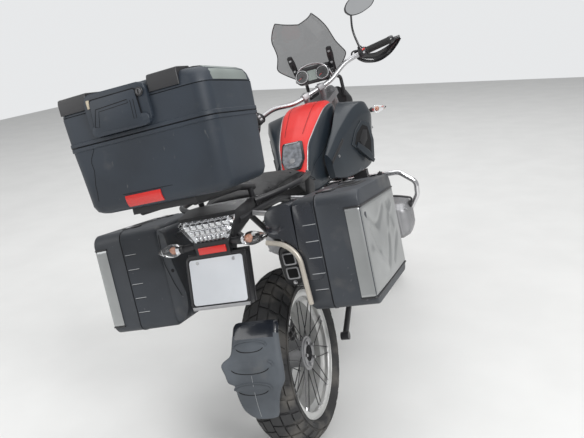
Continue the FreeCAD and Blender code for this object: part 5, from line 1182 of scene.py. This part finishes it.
def hand_set(s, label):
    """Grip, pod, lever, guard and mirror of one hand; s is 1 on the right."""
    def at(along, forward=0.0, up=0.0):
        p = GRIP_START + GRIP_RUN * along + Vector((0, forward, up))
        return Vector((s * p.x, p.y, p.z))

    run = Vector((s * GRIP_RUN.x, GRIP_RUN.y, GRIP_RUN.z))
    ribs = [(k * 2.0, 17.4 - (1.1 if k % 2 else 0)) for k in range(4, 59)]
    add_ring([(0, 12), (0, 20), (3, 21), (6, 18)] + ribs + [(120, 18), (124, 18), (124, 12)], at(0), run, 28, 0)
    finish_mesh(f"{label}_grip", "rubber", "steering", sharp=50)
    add_ring([(-40, 13), (-40, 21), (-36, 24), (-6, 25), (-2, 22), (-2, 13)], at(0), run, 28, 0)
    add_block(at(-36 if s > 0 else -4, -26, -20), at(-4 if s > 0 else -36, 16, 24), 6, 0, 3)
    add_block(at(-30 if s > 0 else -14, -30, -8), at(-14 if s > 0 else -30, -24, 2), 2, 2)
    add_block(at(-28 if s > 0 else -12, -31, 8), at(-12 if s > 0 else -28, -24, 18), 2, 3 if s > 0 else 2)
    add_tube([at(-18, 16), at(-12, 34, -3), at(6, 44, -5)], 8, 12, 12)
    add_tube([at(-16, 22, 8), at(-22, 40, 22), at(-40, 60, 26), at(-58, 60, -8)], 4, 14, 8)
    add_block(at(-44 if s > 0 else -8, 18, -2), at(-8 if s > 0 else -44, 46, 26), 5, 0, 3)
    finish_mesh(f"{label}_switches", "black groove cast reflector", "steering")
    add_tube([at(-6, 36, -4), at(26, 52, -6), at(90, 40, -8), at(146, 30, -10)], (7.5, 4.8), 26, 12, 0, 0.7)
    add_disc(at(146, 30, -10) - run * 3, run, 7, 8, 0, 3, 16)
    finish_mesh(f"{label}_lever", "aluminium", "steering")
    add_ring([(124.2, 1), (124.2, 19), (140, 18), (144, 14), (144, 1)], at(0), run, 24, 0)
    add_tube([at(136), at(160, 6, -3), at(178, 10, -4)], 8, 14, 12)
    add_tube([at(-20, 20), at(-20, 66, -4)], 8, 10, 12)
    rows = blend_rows(((-30, 62, -26, 14), (0, 70, -54, 2), (60, 76, -74, -24), (120, 62, -64, -22),
        (158, 32, -38, -8), (178, 8, -16, 4)), 4)
    grid = []
    for along, forward, low, high in rows:
        grid.append([at(along, forward + 9 * sin(pi * t) ** 0.8 - 5, low + (high - low) * t)
            for t in spaced(0, 1, 10)])
    add_shell(grid, (0, 4.5, 0))
    rib = [at(along, forward + 10.5, low + (high - low) * 0.5) for along, forward, low, high in rows[3:-3]]
    add_tube(rib, 3, 4, 8)
    finish_mesh(f"{label}_hand_guard", "gloss_black", "steering", sharp=45, replaces=("hand_controls",))

    foot = GRIP_START - GRIP_RUN * 20 + Vector((0, 0, 25.8))
    centre = Vector((440, foot.y + 26, foot.z + 185))
    stalk = [foot, foot + Vector((12, 6, 90)), centre + Vector((-58, 8, -12)), centre + Vector((-20, 10, 0))]
    add_tube([(s * p.x, p.y, p.z) for p in stalk], (5.6, 4.6), 40, 12)
    add_ring([(0, 1), (0, 12), (10, 11), (14, 7), (14, 1)], (s * foot.x, foot.y, foot.z - 4), UP, 16, 0)
    outline = softened(((-92, -6), (-74, -34), (-20, -48), (52, -44), (90, -18), (93, 8), (66, 36), (10, 48),
        (-52, 38), (-86, 16)), 26, 4)

    def slice_of(k, y):
        return [(s * (centre.x + u * k), centre.y + y, centre.z + v * k) for u, v in outline]

    add_loft([slice_of(1.0, -2), slice_of(1.0, 4)])
    add_loft([slice_of(0.93, -2.6), slice_of(0.93, -2.0)], 1)
    dome = ((1.0, 3.5), (0.985, 9), (0.93, 15), (0.82, 20.5), (0.64, 24.5), (0.40, 27), (0.12, 28))
    add_loft([slice_of(*level) for level in dome])
    finish_mesh(f"{label}_mirror", "gloss_black mirror_face", "steering", sharp=35, replaces=("mirrors",))


hand_set(1, "right")
hand_set(-1, "left")

# Headlamp, beak and front mudguard
cross_loft([(1296, [(86, 1026), (102, 1088), (74, 1146)]), (1338, [(104, 1012), (120, 1066), (92, 1122)]),
    (1366, [(94, 1004), (110, 1050), (82, 1100)])], 14, 4)
for s in (-1, 1):
    add_ring([(0, 1), (-18, 14), (-8, 30), (6, 36), (9, 34), (-4, 28), (-13, 13), (-15, 1)],
        (s * (44 if s > 0 else 46), 1368, 1050), FRONT, 36, 1)
    add_ring([(-14, 0.5), (-14, 6), (-2, 5), (0, 0.5)], (s * 45, 1368, 1050), FRONT, 20, 2)
finish_mesh("headlamp_bowls", "black lamp_bowl steel", replaces=("headlamp",))
cross_loft([(1366, [(94, 1005), (109, 1051), (81, 1099)]), (1380, [(88, 1004), (103, 1046), (76, 1090)]),
    (1387, [(74, 1010), (90, 1045), (64, 1080)])], 14, 4)
finish_mesh("headlamp_lens", "clear")

beak_rings = []
for y, half, low, high in blend_rows(((1345, 118, 935, 1000), (1400, 113, 930, 988), (1470, 104, 915, 965),
        (1555, 86, 899, 938), (1620, 68, 884, 913), (1640, 58, 882, 903)), 4):
    loop = [(half, low), (half * 0.93, high - 6), (half * 0.3, high + 2), (-half * 0.3, high + 2),
        (-half * 0.93, high - 6), (-half, low), (-half * 0.8, low + 7), (half * 0.8, low + 7)]
    beak_rings.append(softened([(x, y, z) for x, z in loop], 6, 3))
add_loft(beak_rings)
for s in (-1, 1):
    wing = []
    for y, inner, outer, low, high in blend_rows(((1060, 196, 214, 905, 995), (1130, 194, 213, 918, 1010),
            (1200, 184, 206, 930, 1020), (1275, 138, 166, 934, 1012), (1345, 80, 118, 935, 1000)), 4):
        loop = [(inner, low), (outer, low + 10), (outer + 2, (low + high) / 2), (outer - 6, high), (inner, high)]
        wing.append(softened([(s * x, y, z) for x, z in loop], 6, 3))
    add_loft(wing)
    add_tube([(s * 128, 1292, 985), (s * 214, 1292, 985)], 8, sides=14, finish=1)
    add_line([(s * 30, 1400, 990), (s * 22, 1560, 938), (s * 16, 1620, 914)], 3, (0, 0.2, 1), 1.6, 2)
finish_mesh("beak_shell", "red black groove", sharp=32, replaces=("beak",))

for angle in (58, 88):
    a = radians(180 - angle)
    place = polar(FRONT_AXLE, 346, a)
    add_tube([place + RIGHT * x for x in (-64, 64)], 2.6, sides=8)
rings = []
for degrees in range(26, 123, 4):
    a = radians(180 - degrees)
    ease = min(1.0, (degrees - 22) / 16, (126 - degrees) / 12)
    section = []
    for u in spaced(-1, 1, 14):
        section.append((74 * u * (0.7 + 0.3 * ease), 347 - 26 * abs(u) ** 4))
    section += [(x * 0.97, r - 4.5) for x, r in reversed(section)]
    rings.append([polar(FRONT_AXLE, r, a) + RIGHT * x for x, r in section])
add_loft(rings)
finish_mesh("front_mudguard", "black", "steering", sharp=35)

# Engine covers, rocker covers, bolts and hoses
for s in (-1, 1):
    x = s * 140
    add_disc((x, 780, 520), RIGHT * s, 92, 12, 0, 5, 56)
    add_disc((x + s * 12, 780, 520), RIGHT * s, 56, 5, 0, 2.5, 48)
    add_disc((x, 640, 470), RIGHT * s, 62, 9, 0, 4, 48)
    for k in range(8):
        add_bolt(polar((x + s * 12, 780, 520), 78, radians(45 * k + 12)), RIGHT * s, 4.5, 5, 1)
    for k in range(6):
        add_bolt(polar((x + s * 9, 640, 470), 52, radians(60 * k + 20)), RIGHT * s, 4.0, 4, 1)
    add_block((x, 590, 560), (x + s * 10, 690, 640), 5, 0, 3)
    for k in range(5):
        add_block((min(x, x + s * 7), 604 + 18 * k, 568), (max(x, x + s * 7) + 0.5, 610 + 18 * k, 632), 1.5, 0)
    add_tube([(s * 96, 700, 640), (s * 118, 700, 668), (s * 120, 790, 690), (s * 126, 872, 640)], 21, 46, 18, 2)
    add_ring([(0, 22), (0, 25), (12, 25), (12, 22)], (s * 124, 858, 652), (0, 0.75, -0.66), 28, 1)
add_disc((0, 1010, 500), FRONT, 118, 14, 0, 6, 64)
add_disc((0, 1024, 500), FRONT, 70, 6, 0, 3, 48)
for a in angles(10):
    add_bolt((102 * cos(a), 1024, 500 + 102 * sin(a)), FRONT, 4.5, 5, 1)
finish_mesh("engine_covers", "engine steel black")

for s, y in ((1, 890), (-1, 915)):
    cover = []
    for x, inset in ((s * 322, 2), (s * 340, 2), (s * 356, 8), (s * 368, 20), (s * 374, 38)):
        half_y, half_z = 95 - inset, 82.5 - inset
        outline = two_sided([(half_y, half_z - 26), (half_y - 26, half_z)])
        outline += [(-u, -v) for u, v in outline]
        cover.append(softened([(x, y + u, 505 + v) for u, v in outline], 12, 3))
    add_loft(cover)
    for v in (-34, -17, 0, 17, 34):
        add_tube([(s * 373.4, y - 44, 505 + v), (s * 373.4, y + 44, 505 + v)], 2.6, sides=8)
    for u, v in ((76, 52), (-76, 52), (76, -52), (-76, -52)):
        add_disc((s * 350, y + u * 0.96, 505 + v), RIGHT * s, 9, 14, 0, 3, 20)
        add_bolt((s * 364, y + u * 0.96, 505 + v), RIGHT * s, 4.5, 5, 1)
    add_ring([(0, 1), (0, 17), (10, 16), (14, 11), (14, 1)], (s * 371, y - 2, 560), RIGHT * s, 24, 2)
    hose = ((378, 2, 560), (392, 10, 590), (330, 20, 612), (200, 40, 640))
    add_tube([(s * x, y - behind, z) for x, behind, z in hose], 5, 24, 10, 2)
finish_mesh("rocker_covers", "cast steel black", sharp=35)

# Guard clamps, final drive and pegs
for s in (-1, 1):
    for x, z in ((s * 240, 691), (s * 212, 428)):
        add_ring([(-10, 12.6), (-10, 17), (10, 17), (10, 12.6)], (x, 1022, z), RIGHT, 24, 0)
        add_bolt((x, 1022 + 4, z + 16), UP, 4, 5, 1)
add_disc((-188, 0, AXLE_HEIGHT), LEFT, 70, 8, 2, 3, 56)
add_disc((-196, 0, AXLE_HEIGHT), LEFT, 34, 4, 2, 1.5, 40)
for k in range(8):
    add_bolt(polar((-196, 0, AXLE_HEIGHT), 55, radians(45 * k)), LEFT, 5, 5, 1)
add_ring([(0, 40), (0, 50), (16, 52), (16, 40)], (-146, 330, 376), (0, 1, 0.33), 32, 3)
for k in range(5):
    add_ring([(0, 40), (2, 49), (5, 49), (7, 40)], (-146, 440 + 10 * k, 385 + 2 * k), (0, 1, 0.25), 32, 3)
finish_mesh("drive_details", "black steel engine rubber")
for s in (-1, 1):
    add_block((s * 196, 548, 358), (s * 286, 586, 386), 4)
    for k in range(6):
        x = s * (204 + 14 * k)
        add_block((x - 3, 546, 384), (x + 3, 588, 391), 1, 1)
    add_block((s * 256, 220, 494), (s * 332, 250, 519), 6, 2, 3)
finish_mesh("peg_treads", "dark_steel steel rubber")


# Brake discs: a steel band on a dark carrier with arms
def brake_disc(centre, place, hub_place, radius, hub_radius, out):
    middle = centre + RIGHT * place
    add_ring([(-2.5, radius), (2.5, radius), (2.5, radius - 30), (-2.5, radius - 30)], middle, RIGHT, 96)
    add_ring([(-3, radius - 28), (3, radius - 28), (3, radius - 38), (-3, radius - 38)], middle, RIGHT, 72, 1)
    for angle in angles(8):
        lean = angle + 0.32
        start = polar(centre, hub_radius - 4, angle) + RIGHT * hub_place
        end = polar(centre, radius - 33, lean) + RIGHT * place
        add_tube([start, end], (7.5, 6), sides=10, finish=1, flat=0.5)
        add_bolt(polar(centre, radius - 33, lean) + RIGHT * (place + out * 2.6), RIGHT * out, 3.6, 3, 0)
    add_ring([(-4, hub_radius - 14), (4, hub_radius - 14), (4, hub_radius + 2), (-4, hub_radius + 2)],
        centre + RIGHT * hub_place, RIGHT, 64, 1)


brake_disc(REAR_AXLE, -66, -60, 138, 62, -1)
finish_mesh("rear_disc_band", "steel spoke", "rear_wheel", replaces=("rear_disc",))
for s in (-1, 1):
    brake_disc(FRONT_AXLE, s * 72, s * 63, 152, 46, s)
finish_mesh("front_disc_bands", "steel spoke", "front_wheel", replaces=("front_discs",))


# Camera, light and floor
CAMERA_PLACE = Vector((0.581878, -1.779566, 1.451729))
CAMERA_YAW, CAMERA_PITCH, CAMERA_ROLL = 0.3230063, 0.3174802, 0.0741753
CAMERA_LENS = 588.7035 / 584 * 36


def set_camera():
    camera = bpy.data.cameras.new("camera")
    camera.lens = CAMERA_LENS
    camera.sensor_fit = "HORIZONTAL"
    camera.clip_end = 100
    turn = (Matrix.Rotation(CAMERA_YAW, 4, "Z") @ Matrix.Rotation(-CAMERA_PITCH, 4, "X") @ Matrix.Rotation(CAMERA_ROLL,
        4, "Y") @ Matrix.Rotation(radians(90), 4, "X"))
    holder = linked("camera", camera)
    holder.matrix_world = Matrix.Translation(CAMERA_PLACE) @ turn
    bpy.context.scene.camera = holder


def area_light(name, place, target, size, power):
    light = bpy.data.lights.new(name, "AREA")
    light.shape = "SQUARE"
    light.size = size
    light.energy = power
    holder = linked(name, light)
    holder.location = place
    holder.rotation_euler = (Vector(target) - Vector(place)).to_track_quat("-Z", "Y").to_euler()


def pale_backdrop():
    """A pale world, brighter where the camera sees it straight or through glass."""
    world = bpy.data.worlds.new("studio")
    bpy.context.scene.world = world
    world.use_nodes = True
    tree = world.node_tree
    background = tree.nodes["Background"]
    background.inputs["Color"].default_value = (0.80, 0.81, 0.82, 1)
    path = tree.nodes.new("ShaderNodeLightPath")
    seen = tree.nodes.new("ShaderNodeMath")
    seen.operation = "MAXIMUM"
    tree.links.new(path.outputs["Is Camera Ray"], seen.inputs[0])
    tree.links.new(path.outputs["Is Transmission Ray"], seen.inputs[1])
    strength = tree.nodes.new("ShaderNodeMapRange")
    strength.inputs["To Min"].default_value = 0.55
    strength.inputs["To Max"].default_value = 1.0
    tree.links.new(seen.outputs[0], strength.inputs["Value"])
    tree.links.new(strength.outputs["Result"], background.inputs["Strength"])


def floor():
    mesh = bpy.data.meshes.new("floor")
    mesh.from_pydata([(-9, -9, -0.0005), (9, -9, -0.0005), (9, 12, -0.0005), (-9, 12, -0.0005)], [], [(0, 1, 2, 3)])
    mesh.materials.append(material("pale_floor", (0.74, 0.74, 0.73), 0.85, vary=0.02, vary_scale=3.0))
    obj = linked("floor", mesh)


set_camera()
pale_backdrop()
floor()
area_light("key", (2.6, -2.2, 3.6), (0, 0.4, 0.6), 1.6, 120)
area_light("fill", (-3.2, -2.4, 2.4), (0, 0.4, 0.6), 2.6, 45)
area_light("sky", (0, 3.0, 7.0), (0, 3.0, 0), 9.0, 380)
bpy.context.scene.view_settings.view_transform = "Standard"
